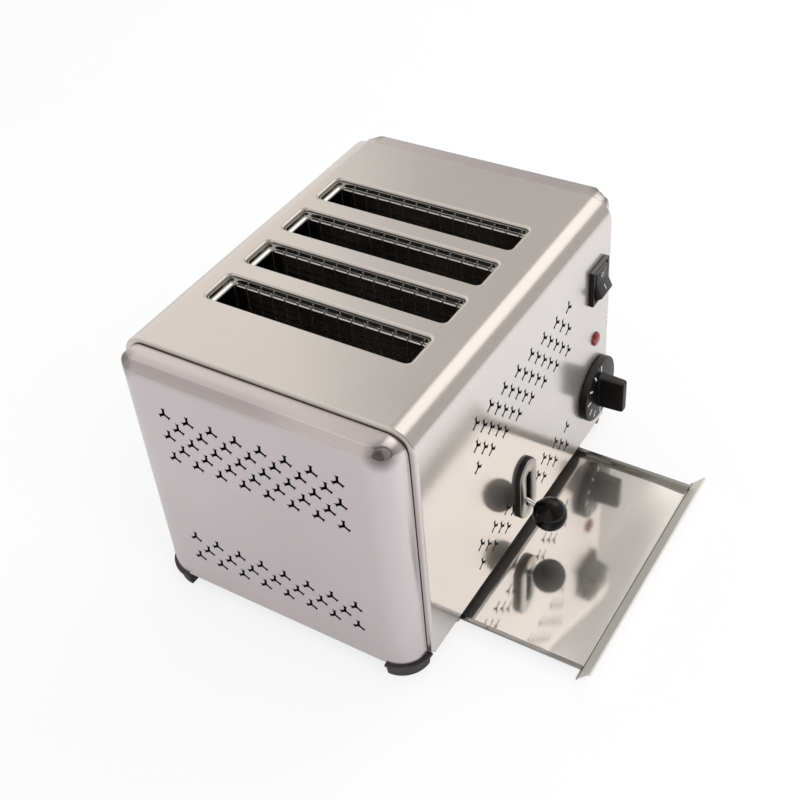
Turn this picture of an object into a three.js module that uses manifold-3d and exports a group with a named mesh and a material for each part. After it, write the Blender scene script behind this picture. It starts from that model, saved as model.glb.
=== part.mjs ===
// A four slot toaster in sheet steel, with its crumb tray pulled out.
// Millimetres, +Z up, the row of slots along X, the controls on the -Y side, the floor at Z = 0.
import * as THREE from 'three';
import { mergeVertices } from 'three/addons/utils/BufferGeometryUtils.js';
import Module from 'manifold-3d';

const wasm = await Module();
wasm.setup();

// Gaps and sheets
const fit = 0.3;
const overrun = 3;
const sheet = 1.2;
const plate = 1.5;
const thinSheet = 1;

// Casing: cover over front, top and back, and a drawn cap on each end
const bodyTop = 202;
const shellBottom = 13.3;
const coverHalfLength = 129.5;
const coverBend = 16.5;
const coverFlange = 7;
const coverHem = 8;
const capLength = 19;
const capStep = 3.5;
const capDrop = 3;
const capCorner = 21;
const capBend = 14;
const capEdge = 3;
const gripRadius = 5.9;
const gripOut = 1.5;
const gripUp = 1;
const dimpleRadius = 8;
const dimpleIn = 2;
const dimpleFromCorner = 7.5;

// Vent holes: upright stems that split into two legs
const ventArm = 4.9;
const ventWidth = 1.3;
const ventFlare = 2;
const ventColumn = 18;
const ventRow = 9.07;
const frontUpperDrop = 43.4;
const frontLowerRow = 52.6;
const endUpperDrop = 35;
const endLowerRow = 58.1;
const upperRows = [8, 7, 8, 7, 8];
const lowerRows = [8, 7, 8];

// Bread slots and their bright frames
const slotCount = 4;
const slotPitch = 42;
const slotWidth = 27.5;
const slotLength = 150;
const slotCorner = 4;
const frontMargin = 34.7;
const backMargin = 24.3;
const slotLip = 5.5;
const frameDrop = 1.2;
const frameFoot = 1.6;

// Base, feet and their screws
const footOut = 0.5;
const footRimOut = 2;
const footRimHeight = 2.2;
const footTaper = 1.6;
const screwHead = 4;
const screwHeadHeight = 2.4;
const screwShank = 1.9;
const screwRise = 4;
const screwFromCorner = 8.5;
const windowInset = 5.5;
const windowMargin = 2;

// Inner sheets
const endFrameWidth = 16;
const timerRoom = 4;
const shieldBehind = 17.1;
const shieldSideGap = 7;
const shieldFold = 5;
const rodWindowGap = 0.8;

// Heating elements
const boardThick = 1.6;
const boardInset = 10;
const ovenGap = 3;
const railHeight = 8;
const railThick = 3;
const ribbonWidth = 3;
const ribbonRise = 0.5;
const ribbonRows = 5;

// Guard wires
const guardIn = 1.55;
const guardWire = 1.6;
const guardInset = 12.8;
const guardUprights = 7;
const guardRise = 4;

// Racks, their carriage and its guide rods
const rackDrop = 58;
const rackTravel = 60;
const rackWire = 2.4;
const rackHalfWidth = 6;
const rackRungs = 6;
const barWidth = 8;
const barThick = 2.5;
const eyeRadius = 5;
const eyeHeight = 6;
const eyeGap = 0.7;
const guideFromSlot = 2.75;
const guideRadius = 2.5;
const guideTop = 170;
const spineX = 8;
const spineHeight = 8;
const yokeEnd = 4;

// Lever with its ball, pivot and plate
const leverX = -2.8;
const pivotGap = 3;
const pivotHeight = 51;
const leverTilt = 18.6;
const ballOut = 19.5;
const ballRadius = 11.9;
const rodRadius = 1.9;
const hubRadius = 6;
const hubWidth = 8;
const armWidth = 10;
const armThick = 3;
const pinRadius = 2.5;
const earThick = 2;
const earHalfWidth = 6.2;
const rodSeat = 4;
const plateWidth = 24;
const plateEnd = 10.5;
const plateRise = 3.2;
const rodSideGap = 1.3;
const rodEndGap = 1.15;

// Timer
const timerInset = 21.5;
const timerHeight = 55;
const knobRadius = 25;
const knobFace = 22.5;
const knobSkirt = 2.6;
const knobThick = 5;
const knobGap = 0.6;
const gripWidth = 8.5;
const gripHeight = 28;
const gripReach = 24.5;
const gripRound = 2.5;
const tickInner = 16;
const tickOuter = 22;
const tickWidth = 1.1;
const tickDepth = 0.4;
const tickCount = 9;
const tickStep = 30;
const shaftRadius = 3;
const shaftSeat = 12;
const timerBox = 33;
const timerDepth = 17;

// Pilot lamp
const lampInset = 22;
const lampPlaceShare = 0.3585;
const lampRadius = 5.9;
const lampRise = 2.6;
const lampShank = 4.2;
const lampBody = 6.5;
const lampDepth = 14;

// Rocker switch
const switchInset = 22.4;
const switchDrop = 50.9;
const bezelWidth = 25;
const bezelHeight = 28.4;
const bezelRise = 3;
const bezelCorner = 1.2;
const bezelSideRim = 1.8;
const bezelEndRim = 1.6;
const switchBodyDepth = 16;
const switchWall = 2;
const rockerEndRim = 1.9;
const rockerLip = 2.4;
const rockerCavity = 12;
const rockerPivot = 5;
const rockerTilt = 14;
const rockerRidgeIn = 2.8;
const rockerRidgeRise = 8;
const rockerValleyRise = 6;
const rockerEndRise = 2;
const rockerHeelIn = 3.3;
const rockerHeelDrop = 3;
const markDepth = 0.3;
const markSize = 2;
const markLine = 0.6;

// Crumb tray and its rails
const trayHalfWidth = 91.5;
const trayOut = 84.3;
const trayShort = 25;
const trayFloor = 2;
const trayRim = 7.5;
const trayRimWidth = 3;
const trayLipOut = 9;
const trayLipTop = 13;
const trayLipSide = 5.5;
const railWeb = 1.5;
const railLip = 2.6;
const railFlange = 9;
const railSetback = 3;

// Cord gland in the back
const glandInset = 29.5;
const glandHeight = 40;
const glandRadius = 8;
const glandFlange = 11;
const glandRise = 3;
const glandBore = 4;
const glandDepth = 8;

// Facets
const bendSteps = 3;
const roundSteps = 5;
const fineSides = 18;
const roundSides = 12;
const wireSides = 8;
const ballBands = 10;
const cornerSteps = 5;
const edgeSteps = 5;
const slotSteps = 2;

// Places that follow from the sizes above
const coverHalfDepth = (slotLength + frontMargin + backMargin) / 2;
const slotBack = (frontMargin - backMargin) / 2;
const slotFrontEnd = slotLength / 2 - slotBack;
const slotBackEnd = slotLength / 2 + slotBack;
const capEnd = coverHalfLength + capLength;
const capHalfDepth = coverHalfDepth - capStep;
const capTop = bodyTop - capDrop;
const cornerX = capEnd - capCorner;
const cornerY = capHalfDepth - capCorner;
const footRadius = capCorner + footOut;
const footRim = capCorner + footRimOut;
const footBoss = coverHalfDepth - coverHem - cornerY - fit;
const wallInside = coverHalfDepth - sheet;
const baseBottom = shellBottom + sheet + fit;
const baseTop = baseBottom + plate;
const innerFloor = baseTop + fit;
const slotPlaces = Array.from({ length: slotCount }, (_, k) => (k - (slotCount - 1) / 2) * slotPitch);
const boardPlaces = Array.from({ length: slotCount + 1 }, (_, k) => (k - slotCount / 2) * slotPitch);
const shieldFront = wallInside - fit - timerDepth - timerRoom;
const shieldBack = coverHalfDepth - shieldBehind;
const shieldSide = boardPlaces[slotCount] + shieldSideGap;
const frameBottom = bodyTop - slotLip - fit - thinSheet;
const hangerTop = frameBottom - fit;
const shieldTop = hangerTop - guardWire - fit;
const tilt = THREE.MathUtils.degToRad(leverTilt);
const armReach = rackTravel / 2 / Math.sin(tilt);
const pinRest = pivotHeight + rackTravel / 2;
const boardFront = slotFrontEnd - boardInset;
const boardBack = slotBackEnd - boardInset;
const boardBottom = pinRest + spineHeight / 2 + ovenGap;
const guardFront = slotFrontEnd - guardInset;
const guardBack = slotBackEnd - guardInset;
const guardBottom = boardBottom + guardRise;
const guardOff = slotWidth / 2 - guardIn;
const rackHeight = bodyTop - rackDrop;
const barFront = boardFront + ribbonRise + eyeRadius + eyeGap;
const barBack = boardBack + ribbonRise + eyeRadius + eyeGap;
const barTop = rackHeight - rackWire / 2 - fit;
const guideX = slotPlaces[slotCount - 1] + slotWidth / 2 + guideFromSlot;
const pivotFront = shieldFront - earHalfWidth - pivotGap;
const ballReach = (coverHalfDepth + ballOut - pivotFront) / Math.cos(tilt);
const plateFace = coverHalfDepth + fit + plateRise;
const rodRise = (plateFace - pivotFront) * Math.tan(tilt) + rodRadius / Math.cos(tilt);
const plateSlotWidth = 2 * (rodRadius + rodSideGap);
const plateSlotHeight = 2 * (rodRise + rodEndGap);
const plateHeight = plateSlotHeight + 2 * plateEnd;
const bezelFace = -coverHalfDepth - fit - bezelRise;
const switchX = coverHalfLength - switchInset;
const switchHeight = bodyTop - switchDrop;
const switchBodyWidth = bezelWidth - 2 * bezelSideRim;
const switchBodyHeight = bezelHeight - 2 * bezelEndRim;
const rockerWidth = switchBodyWidth - 2 * switchWall;
const rockerEnd = bezelHeight / 2 - rockerEndRim;
const rockerRidge = rockerEnd - rockerRidgeIn;
const rockerHeel = rockerEnd - rockerHeelIn;
const timerX = coverHalfLength - timerInset;
const lampX = coverHalfLength - lampInset;
const knobTop = timerHeight + knobRadius;
const switchFoot = switchHeight - bezelHeight / 2;
const lampHeight = knobTop + lampPlaceShare * (switchFoot - knobTop);
const glandX = coverHalfLength - glandInset;
const trayFront = coverHalfDepth + trayOut;
const trayLength = 2 * coverHalfDepth - trayShort;
const trayLipHalfWidth = trayHalfWidth + trayLipSide;
const quarter = Math.PI / 2;

const brushed = { color: 0xd2ccc6, roughness: 0.32, metalness: 1 };
const polished = { color: 0xdedbd8, roughness: 0.12, metalness: 1 };
const zinc = { color: 0xa9a8a6, roughness: 0.45, metalness: 1 };
const blackPlastic = { color: 0x121213, roughness: 0.35, metalness: 0 };
const glossBlack = { color: 0x08080a, roughness: 0.08, metalness: 0 };
const rubber = { color: 0x1a1a1b, roughness: 0.7, metalness: 0 };
const mica = { color: 0xb9ab92, roughness: 0.7, metalness: 0 };
const redLens = { color: 0xb3131c, roughness: 0.2, metalness: 0 };
const creamPlastic = { color: 0xd8d2c2, roughness: 0.5, metalness: 0 };

const body = new THREE.Group();

// A closed solid from a three.js geometry, with its faces pointing out
function solid(geometry) {
  geometry.deleteAttribute('normal');
  geometry.deleteAttribute('uv');
  const merged = mergeVertices(geometry);
  const places = merged.attributes.position.array;
  const corners = merged.index.array;
  const kept = [];
  let volume = 0;
  const p = [new THREE.Vector3(), new THREE.Vector3(), new THREE.Vector3()];
  for (let k = 0; k < corners.length; k += 3) {
    const [a, b, c] = [corners[k], corners[k + 1], corners[k + 2]];
    if (a !== b && b !== c && a !== c) {
      kept.push(a, b, c);
      [a, b, c].forEach((corner, n) => p[n].fromArray(places, corner * 3));
      volume += p[0].dot(p[1].clone().cross(p[2]));
    }
  }
  if (volume < 0) {
    kept.reverse();
  }
  return new wasm.Manifold(new wasm.Mesh({
    numProp: 3,
    vertProperties: new Float32Array(places),
    triVerts: new Uint32Array(kept),
  }));
}

// Adds a piece to the toaster as a mesh of its own
function add(name, piece, look) {
  const result = piece.getMesh();
  const geometry = new THREE.BufferGeometry();
  geometry.setAttribute('position', new THREE.BufferAttribute(new Float32Array(result.vertProperties), 3));
  geometry.setIndex(new THREE.BufferAttribute(new Uint32Array(result.triVerts), 1));
  geometry.computeVertexNormals();
  const mesh = new THREE.Mesh(geometry, new THREE.MeshStandardMaterial(look));
  mesh.name = name;
  body.add(mesh);
  return mesh;
}

function joined(pieces) {
  return pieces.reduce((whole, piece) => whole.add(piece));
}

function box(x0, x1, y0, y1, z0, z1) {
  const geometry = new THREE.BoxGeometry(x1 - x0, y1 - y0, z1 - z0);
  geometry.translate((x0 + x1) / 2, (y0 + y1) / 2, (z0 + z1) / 2);
  return solid(geometry);
}

function extruded(shape, depth, steps) {
  return new THREE.ExtrudeGeometry(shape, { depth, bevelEnabled: false, curveSegments: steps });
}

// Outlines in Y and Z, run along X
function alongX(shape, from, to, steps = bendSteps) {
  const geometry = extruded(shape, to - from, steps);
  const basis = new THREE.Matrix4().makeBasis(
    new THREE.Vector3(0, 1, 0),
    new THREE.Vector3(0, 0, 1),
    new THREE.Vector3(1, 0, 0),
  );
  geometry.applyMatrix4(basis);
  geometry.translate(from, 0, 0);
  return solid(geometry);
}

// Outlines in X and Z, run along Y
function alongY(shape, from, to, steps = bendSteps) {
  const geometry = extruded(shape, to - from, steps);
  geometry.rotateX(quarter);
  geometry.translate(0, to, 0);
  return solid(geometry);
}

// Outlines in X and Y, run along Z
function alongZ(shape, from, to, steps = bendSteps) {
  const geometry = extruded(shape, to - from, steps);
  geometry.translate(0, 0, from);
  return solid(geometry);
}

function rodX(radius, from, to, y, z, sides = roundSides) {
  const geometry = new THREE.CylinderGeometry(radius, radius, to - from, sides);
  geometry.rotateZ(quarter);
  geometry.translate((from + to) / 2, y, z);
  return solid(geometry);
}

function rodY(radius, x, from, to, z, sides = roundSides) {
  const geometry = new THREE.CylinderGeometry(radius, radius, to - from, sides);
  geometry.translate(x, (from + to) / 2, z);
  return solid(geometry);
}

function rodZ(radius, x, y, from, to, sides = roundSides) {
  const geometry = new THREE.CylinderGeometry(radius, radius, to - from, sides);
  geometry.rotateX(quarter);
  geometry.translate(x, y, (from + to) / 2);
  return solid(geometry);
}

function polygon(points) {
  return new THREE.Shape(points.map(([a, b]) => new THREE.Vector2(a, b)));
}

function roundedRect(width, height, radius, a = 0, b = 0) {
  const right = a + width / 2 - radius;
  const left = a - width / 2 + radius;
  const top = b + height / 2 - radius;
  const bottom = b - height / 2 + radius;
  const shape = new THREE.Shape();
  shape.absarc(right, top, radius, 0, quarter);
  shape.absarc(left, top, radius, quarter, quarter * 2);
  shape.absarc(left, bottom, radius, quarter * 2, quarter * 3);
  shape.absarc(right, bottom, radius, quarter * 3, quarter * 4);
  return shape;
}

// An upright slot or plate with half round ends
function stadium(width, height, a, b) {
  const radius = width / 2;
  const rise = height / 2 - radius;
  const shape = new THREE.Shape();
  shape.absarc(a, b + rise, radius, 0, quarter * 2);
  shape.absarc(a, b - rise, radius, quarter * 2, quarter * 4);
  return shape;
}

// The outline of the casing seen from an end: straight sides and bent top edges
function arch(halfDepth, bottom, top, bend) {
  const shape = new THREE.Shape();
  shape.moveTo(halfDepth, bottom);
  shape.lineTo(halfDepth, top - bend);
  shape.absarc(halfDepth - bend, top - bend, bend, 0, quarter);
  shape.absarc(bend - halfDepth, top - bend, bend, quarter, quarter * 2);
  shape.lineTo(-halfDepth, bottom);
  return shape;
}

// A closed skin through rings of points that run anticlockwise seen from above
function skin(rings) {
  const count = rings[0].length;
  const places = rings.flat(2);
  const faces = [];
  const last = (rings.length - 1) * count;
  for (let level = 0; level < rings.length - 1; level += 1) {
    for (let k = 0; k < count; k += 1) {
      const a = level * count + k;
      const b = level * count + (k + 1) % count;
      faces.push(a, b, b + count, a, b + count, a + count);
    }
  }
  for (let k = 1; k < count - 1; k += 1) {
    faces.push(0, k + 1, k);
    faces.push(last, last + k, last + k + 1);
  }
  const geometry = new THREE.BufferGeometry();
  geometry.setAttribute('position', new THREE.BufferAttribute(new Float32Array(places), 3));
  geometry.setIndex(faces);
  return solid(geometry);
}

// Vent outlines: a stem up and two legs down, in rows that are staggered by half a column
function ventShapes(rows, firstRow, centre, isCovered) {
  const shapes = [];
  rows.forEach((count, row) => {
    const height = firstRow - row * ventRow;
    for (let k = 0; k < count; k += 1) {
      const place = (k - (count - 1) / 2) * ventColumn;
      if (!isCovered(place)) {
        shapes.push(ventShape(centre + place, height));
      }
    }
  });
  return shapes;
}

function ventShape(a, b) {
  const arms = 3;
  const crotch = ventWidth / 2 / Math.sin(Math.PI / arms);
  const points = [];
  for (let arm = 0; arm < arms; arm += 1) {
    const angle = quarter + (arm * 2 * Math.PI) / arms;
    const [along, across] = [Math.cos(angle), Math.sin(angle)];
    const half = ventFlare / 2;
    points.push([a + ventArm * along + half * across, b + ventArm * across - half * along]);
    points.push([a + ventArm * along - half * across, b + ventArm * across + half * along]);
    const between = angle + Math.PI / arms;
    points.push([a + crotch * Math.cos(between), b + crotch * Math.sin(between)]);
  }
  return polygon(points);
}

function makeCover() {
  const outline = arch(coverHalfDepth, shellBottom, bodyTop, coverBend);
  const outer = alongX(outline, -coverHalfLength, coverHalfLength);
  const inner = alongX(
    arch(wallInside, shellBottom + sheet, bodyTop - sheet, coverBend - sheet),
    sheet - coverHalfLength,
    coverHalfLength - sheet,
  );
  const flangeBend = coverBend - coverFlange;
  const ends = alongX(
    arch(coverHalfDepth - coverFlange, shellBottom - overrun, bodyTop - coverFlange, flangeBend),
    -coverHalfLength - overrun,
    coverHalfLength + overrun,
  );
  const hem = coverHalfDepth - coverHem;
  const hemX = coverHalfLength + overrun;
  const underside = box(-hemX, hemX, -hem, hem, shellBottom - overrun, shellBottom + sheet + overrun);
  let cover = outer.subtract(inner).subtract(ends).subtract(underside);
  slotPlaces.forEach((x) => {
    const [width, length] = [slotWidth + 2 * sheet, slotLength + 2 * sheet];
    const turned = roundedRect(width, length, slotCorner + sheet, x, slotBack);
    cover = cover.add(alongZ(turned, bodyTop - slotLip, bodyTop - sheet / 2, slotSteps));
  });
  slotPlaces.forEach((x) => {
    const opening = roundedRect(slotWidth, slotLength, slotCorner, x, slotBack);
    cover = cover.subtract(alongZ(opening, bodyTop - slotLip - overrun, bodyTop + overrun, slotSteps));
  });
  const plateHalf = plateWidth / 2;
  const frontVents = [
    ...ventShapes(upperRows, bodyTop - frontUpperDrop, 0, () => false),
    ...ventShapes(lowerRows, frontLowerRow, 0, (place) => Math.abs(place - leverX) < plateHalf),
  ];
  const through = [-coverHalfDepth - overrun, -wallInside + overrun];
  cover = cover.subtract(alongY(frontVents, ...through));
  cover = cover.subtract(alongY(stadium(plateSlotWidth, plateSlotHeight, leverX, pivotHeight), ...through));
  cover = cover.subtract(rodY(lampShank + fit, lampX, ...through, lampHeight));
  cover = cover.subtract(rodY(shaftRadius + fit, timerX, ...through, timerHeight));
  const switchHole = [switchBodyWidth + 2 * fit, switchBodyHeight + 2 * fit];
  cover = cover.subtract(alongY(roundedRect(...switchHole, bezelCorner, switchX, switchHeight), ...through));
  const throughBack = [wallInside - overrun, coverHalfDepth + overrun];
  cover = cover.subtract(rodY(glandRadius + fit, glandX, ...throughBack, glandHeight));
  add('wrap_cover', cover, brushed);
}

// Rings of one end cap: the long edges have a wide bend and the end edge a tight one
function capRings(inset, bottom, seam) {
  const top = capTop - inset;
  const bend = capBend - inset;
  const edge = capEdge - inset > 0 ? capEdge - inset : inset / 2;
  const levels = [bottom, top - bend];
  for (let k = 1; k <= edgeSteps; k += 1) {
    levels.push(top - bend * (1 - Math.sin((k / edgeSteps) * quarter)));
  }
  return levels.map((height) => {
    const under = Math.min(1, Math.max(0, (height - (top - bend)) / bend));
    const side = bend * (1 - Math.sqrt(1 - under * under));
    const near = Math.min(1, Math.max(0, (height - (top - edge)) / edge));
    const end = edge * (1 - Math.sqrt(1 - near * near));
    const [rx, ry] = [capCorner - inset - end, capCorner - inset - side];
    const start = Math.acos(Math.min(1, Math.max(0, (seam - cornerX) / rx)));
    const ring = [];
    for (let k = 0; k <= cornerSteps; k += 1) {
      const angle = (k / cornerSteps - 1) * start;
      ring.push([cornerX + rx * Math.cos(angle), ry * Math.sin(angle) - cornerY, height]);
    }
    for (let k = 0; k <= cornerSteps; k += 1) {
      const angle = (k / cornerSteps) * start;
      ring.push([cornerX + rx * Math.cos(angle), cornerY + ry * Math.sin(angle), height]);
    }
    if (seam < cornerX) {
      ring.push([seam, cornerY + ry, height], [seam, -cornerY - ry, height]);
    }
    return ring;
  });
}

// The pressed grip along the top of the end, closed by a dimple at each corner
function gripCutter(grow) {
  const x = capEnd + gripOut;
  const z = capTop + gripUp;
  const reach = cornerY + dimpleFromCorner;
  const channel = rodY(gripRadius + grow, x, -reach, reach, z, fineSides);
  const dimples = [-1, 1].map((side) => {
    const geometry = new THREE.SphereGeometry(dimpleRadius + grow, roundSides, ballBands);
    geometry.translate(x - gripOut - dimpleIn, side * (reach + dimpleFromCorner), z);
    return solid(geometry);
  });
  return joined([channel, ...dimples]);
}

function makeCaps() {
  const seam = coverHalfLength + fit;
  const outer = skin(capRings(0, shellBottom, seam)).subtract(gripCutter(0));
  const inner = skin(capRings(sheet, shellBottom - overrun, seam - overrun)).subtract(gripCutter(sheet));
  const vents = [
    ...ventShapes(upperRows, bodyTop - endUpperDrop, 0, () => false),
    ...ventShapes(lowerRows, endLowerRow, 0, () => false),
  ];
  const cap = outer.subtract(inner).subtract(alongX(vents, capEnd - sheet - overrun, capEnd + overrun));
  add('end_cap_right', cap, brushed);
  const left = add('end_cap_left', cap, brushed);
  left.rotation.z = Math.PI;
}

function makeBase() {
  const gap = sheet + fit;
  const outline = roundedRect(2 * (capEnd - gap), 2 * (capHalfDepth - gap), capCorner - gap);
  let base = alongZ(outline, baseBottom, baseTop);
  const side = trayHalfWidth - windowInset;
  const ends = [-boardFront - windowMargin, boardBack + windowMargin];
  base = base.subtract(box(-side, side, ...ends, baseBottom - overrun, baseTop + overrun));
  [-1, 1].forEach((sx) => {
    [-1, 1].forEach((sy) => {
      const x = sx * (coverHalfLength - sheet / 2);
      const half = sheet / 2 + fit;
      const flange = sy * (coverHalfDepth - coverFlange - fit);
      const [y0, y1] = [flange, sy * coverHalfDepth].sort((a, b) => a - b);
      base = base.subtract(box(x - half, x + half, y0, y1, baseBottom - overrun, baseTop + overrun));
    });
  });
  const screw = screwFromCorner;
  const corners = [
    ['foot_back_right', 1, 1, 0],
    ['foot_back_left', -1, 1, 1],
    ['foot_front_left', -1, -1, 2],
    ['foot_front_right', 1, -1, 3],
  ];
  corners.forEach(([name, sx, sy, turns]) => {
    const x = sx * (cornerX + screw);
    const y = sy * (cornerY + screw);
    base = base.subtract(rodZ(screwShank + fit, x, y, baseBottom - overrun, baseTop + overrun, wireSides));
    const foot = add(name, makeFoot(), rubber);
    foot.position.set(sx * cornerX, sy * cornerY, 0);
    foot.rotation.z = turns * quarter;
    const head = rodZ(screwHead, x, y, screwHeadHeight / 2, screwHeadHeight * 3 / 2, wireSides);
    const shank = rodZ(screwShank, x, y, screwHeadHeight, baseTop + screwRise, wireSides);
    add(name.replace('foot', 'foot_screw'), head.add(shank), zinc);
  });
  add('base_plate', base, zinc);
}

// A quarter round foot with a rim under the shell and a boss that reaches the base plate
function makeFoot() {
  const top = shellBottom - fit;
  const levels = [
    [0, footRadius - footTaper],
    [top - footRimHeight, footRadius],
    [top - footRimHeight, footRim],
    [top, footRim],
    [top, footBoss],
    [baseBottom - fit, footBoss],
  ];
  const rings = levels.map(([height, radius]) => {
    const ring = [[0, 0, height]];
    for (let k = 0; k <= cornerSteps; k += 1) {
      const angle = (k / cornerSteps) * quarter;
      ring.push([radius * Math.cos(angle), radius * Math.sin(angle), height]);
    }
    return ring;
  });
  const at = screwFromCorner;
  const hole = rodZ(screwShank + fit, at, at, -overrun, baseBottom + overrun, wireSides);
  const sink = rodZ(screwHead + fit, at, at, -overrun, screwHeadHeight * 3 / 2 + fit, wireSides);
  return skin(rings).subtract(hole).subtract(sink);
}

function makeChassisEnds() {
  const outside = coverHalfLength - sheet - fit;
  const gap = sheet + fit;
  const bend = coverBend - gap;
  const outline = arch(coverHalfDepth - gap, innerFloor, bodyTop - gap, bend);
  const inset = gap + endFrameWidth;
  const sill = innerFloor + endFrameWidth;
  const window = box(
    outside - plate - overrun,
    outside + overrun,
    inset - coverHalfDepth,
    coverHalfDepth - inset,
    sill,
    bodyTop - inset,
  );
  const frame = alongX(outline, outside - plate, outside).subtract(window);
  add('chassis_end_right', frame, zinc);
  const left = add('chassis_end_left', frame, zinc);
  left.rotation.z = Math.PI;
}

function makeShields() {
  const halfLength = coverHalfLength - sheet - fit - plate - fit;
  const fold = shieldTop - thinSheet;
  const front = -shieldFront;
  const wall = box(-halfLength, halfLength, front, front + thinSheet, innerFloor, shieldTop);
  const ledge = box(-halfLength, halfLength, front, front + shieldFold, fold, shieldTop);
  const swing = plateSlotHeight / 2 + rodRadius;
  const rodSlot = stadium(plateSlotWidth + 2 * rodWindowGap, 2 * swing, leverX, pivotHeight);
  const slot = alongY(rodSlot, front - overrun, front + thinSheet + overrun, roundSteps);
  add('front_shield', wall.add(ledge).subtract(slot), zinc);
  const back = shieldBack;
  const rear = box(-halfLength, halfLength, back - thinSheet, back, innerFloor, shieldTop);
  const shelf = box(-halfLength, halfLength, back - shieldFold, back, fold, shieldTop);
  add('rear_shield', rear.add(shelf), zinc);
  const inFront = front + thinSheet + fit;
  const inBack = back - thinSheet - fit;
  const sideTop = fold - fit;
  [['side_shield_left', -shieldSide], ['side_shield_right', shieldSide]].forEach(([name, x]) => {
    add(name, box(x - thinSheet / 2, x + thinSheet / 2, inFront, inBack, innerFloor, sideTop), zinc);
  });
}

function makeSlotFrames() {
  const top = bodyTop - frameDrop;
  slotPlaces.forEach((x, k) => {
    const width = slotWidth - 2 * fit;
    const length = slotLength - 2 * fit;
    const corner = slotCorner - fit;
    const tube = roundedRect(width, length, corner, x, slotBack);
    const foot = roundedRect(width + 2 * frameFoot, length + 2 * frameFoot, corner + frameFoot, x, slotBack);
    const bore = roundedRect(width - 2 * thinSheet, length - 2 * thinSheet, corner - thinSheet, x, slotBack);
    const ring = alongZ(tube, frameBottom, top, slotSteps)
      .add(alongZ(foot, frameBottom, frameBottom + thinSheet, slotSteps))
      .subtract(alongZ(bore, frameBottom - overrun, top + overrun, slotSteps));
    add(`slot_frame_${k + 1}`, ring, polished);
  });
}

function makeElements() {
  const inFront = fit + thinSheet - shieldFront;
  const inBack = shieldBack - thinSheet - fit;
  const top = shieldTop - thinSheet - fit;
  const half = boardThick / 2;
  boardPlaces.forEach((x, k) => {
    const rail = box(x - railThick / 2, x + railThick / 2, inFront, inBack, top - railHeight, top);
    const board = box(x - half, x + half, -boardFront, boardBack, boardBottom, top - railHeight / 2);
    const pitch = (top - railHeight - boardBottom) / (ribbonRows + 1);
    const wraps = Array.from({ length: ribbonRows }, (_, row) => {
      const z = boardBottom + (row + 1) * pitch;
      const out = half + ribbonRise;
      return box(
        x - out,
        x + out,
        -boardFront - ribbonRise,
        boardBack + ribbonRise,
        z - ribbonWidth / 2,
        z + ribbonWidth / 2,
      );
    });
    add(`element_${k + 1}`, joined([rail, board, ...wraps]), mica);
  });
}

function makeGuards() {
  const half = guardWire / 2;
  slotPlaces.forEach((slot, k) => {
    [['left', -1], ['right', 1]].forEach(([name, side]) => {
      const x = slot + side * guardOff;
      const level = (z, from, to) => box(x - half, x + half, from, to, z - half, z + half);
      const hanger = level(hangerTop - half, -shieldFront, shieldBack);
      const pieces = [hanger, level(guardBottom, -guardFront, guardBack)];
      const pitch = (guardBack + guardFront - guardWire) / (guardUprights - 1);
      for (let n = 0; n < guardUprights; n += 1) {
        const y = half - guardFront + n * pitch;
        pieces.push(box(x - half, x + half, y - half, y + half, guardBottom - half, hangerTop));
      }
      add(`guard_${k + 1}_${name}`, joined(pieces), polished);
    });
  });
}

function makeRacks() {
  const half = rackWire / 2;
  const from = -barFront - barWidth / 2;
  const to = barBack + barWidth / 2;
  slotPlaces.forEach((slot, k) => {
    const low = rackHeight - half;
    const high = rackHeight + half;
    const rails = [-rackHalfWidth, rackHalfWidth].map((off) => {
      const x = slot + off;
      return box(x - half, x + half, from, to, low, high);
    });
    const pitch = (to - from - rackWire) / (rackRungs - 1);
    const rungs = Array.from({ length: rackRungs }, (_, n) => {
      const y = from + half + n * pitch;
      return box(slot - rackHalfWidth, slot + rackHalfWidth, y - half, y + half, low, high);
    });
    add(`bread_rack_${k + 1}`, joined([...rails, ...rungs]), polished);
  });
}

function makeCarriage() {
  const bars = [-barFront, barBack].map((y) => {
    return box(-guideX, guideX, y - barWidth / 2, y + barWidth / 2, barTop - barThick, barTop);
  });
  const risers = [-barFront, barBack].map((y) => {
    const low = pinRest - spineHeight / 2;
    return box(spineX - barThick / 2, spineX + barThick / 2, y - barWidth / 2, y + barWidth / 2, low, barTop);
  });
  const spine = box(
    spineX - barThick / 2,
    spineX + barThick / 2,
    -barFront,
    barBack,
    pinRest - spineHeight / 2,
    pinRest + spineHeight / 2,
  );
  const eyes = [[-guideX, -barFront], [guideX, barBack]];
  const rings = eyes.map(([x, y]) => rodZ(eyeRadius, x, y, barTop - eyeHeight, barTop, roundSides));
  let carriage = joined([...bars, ...risers, spine, ...rings]);
  eyes.forEach(([x, y]) => {
    const bore = rodZ(guideRadius + fit, x, y, barTop - eyeHeight - overrun, barTop + overrun, roundSides);
    carriage = carriage.subtract(bore);
  });
  const bore = pinRadius + fit;
  const rest = armReach * Math.cos(tilt) - pivotFront;
  const level = armReach - pivotFront;
  const across = [spineX - overrun, spineX + overrun];
  const yoke = box(...across, rest - yokeEnd, level + yokeEnd, pinRest - bore, pinRest + bore);
  add('rack_carriage', carriage.subtract(yoke), zinc);
  eyes.forEach(([x, y], k) => {
    const rod = rodZ(guideRadius, x, y, innerFloor, guideTop, roundSides);
    add(k === 0 ? 'guide_rod_left' : 'guide_rod_right', rod, polished);
  });
}

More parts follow.
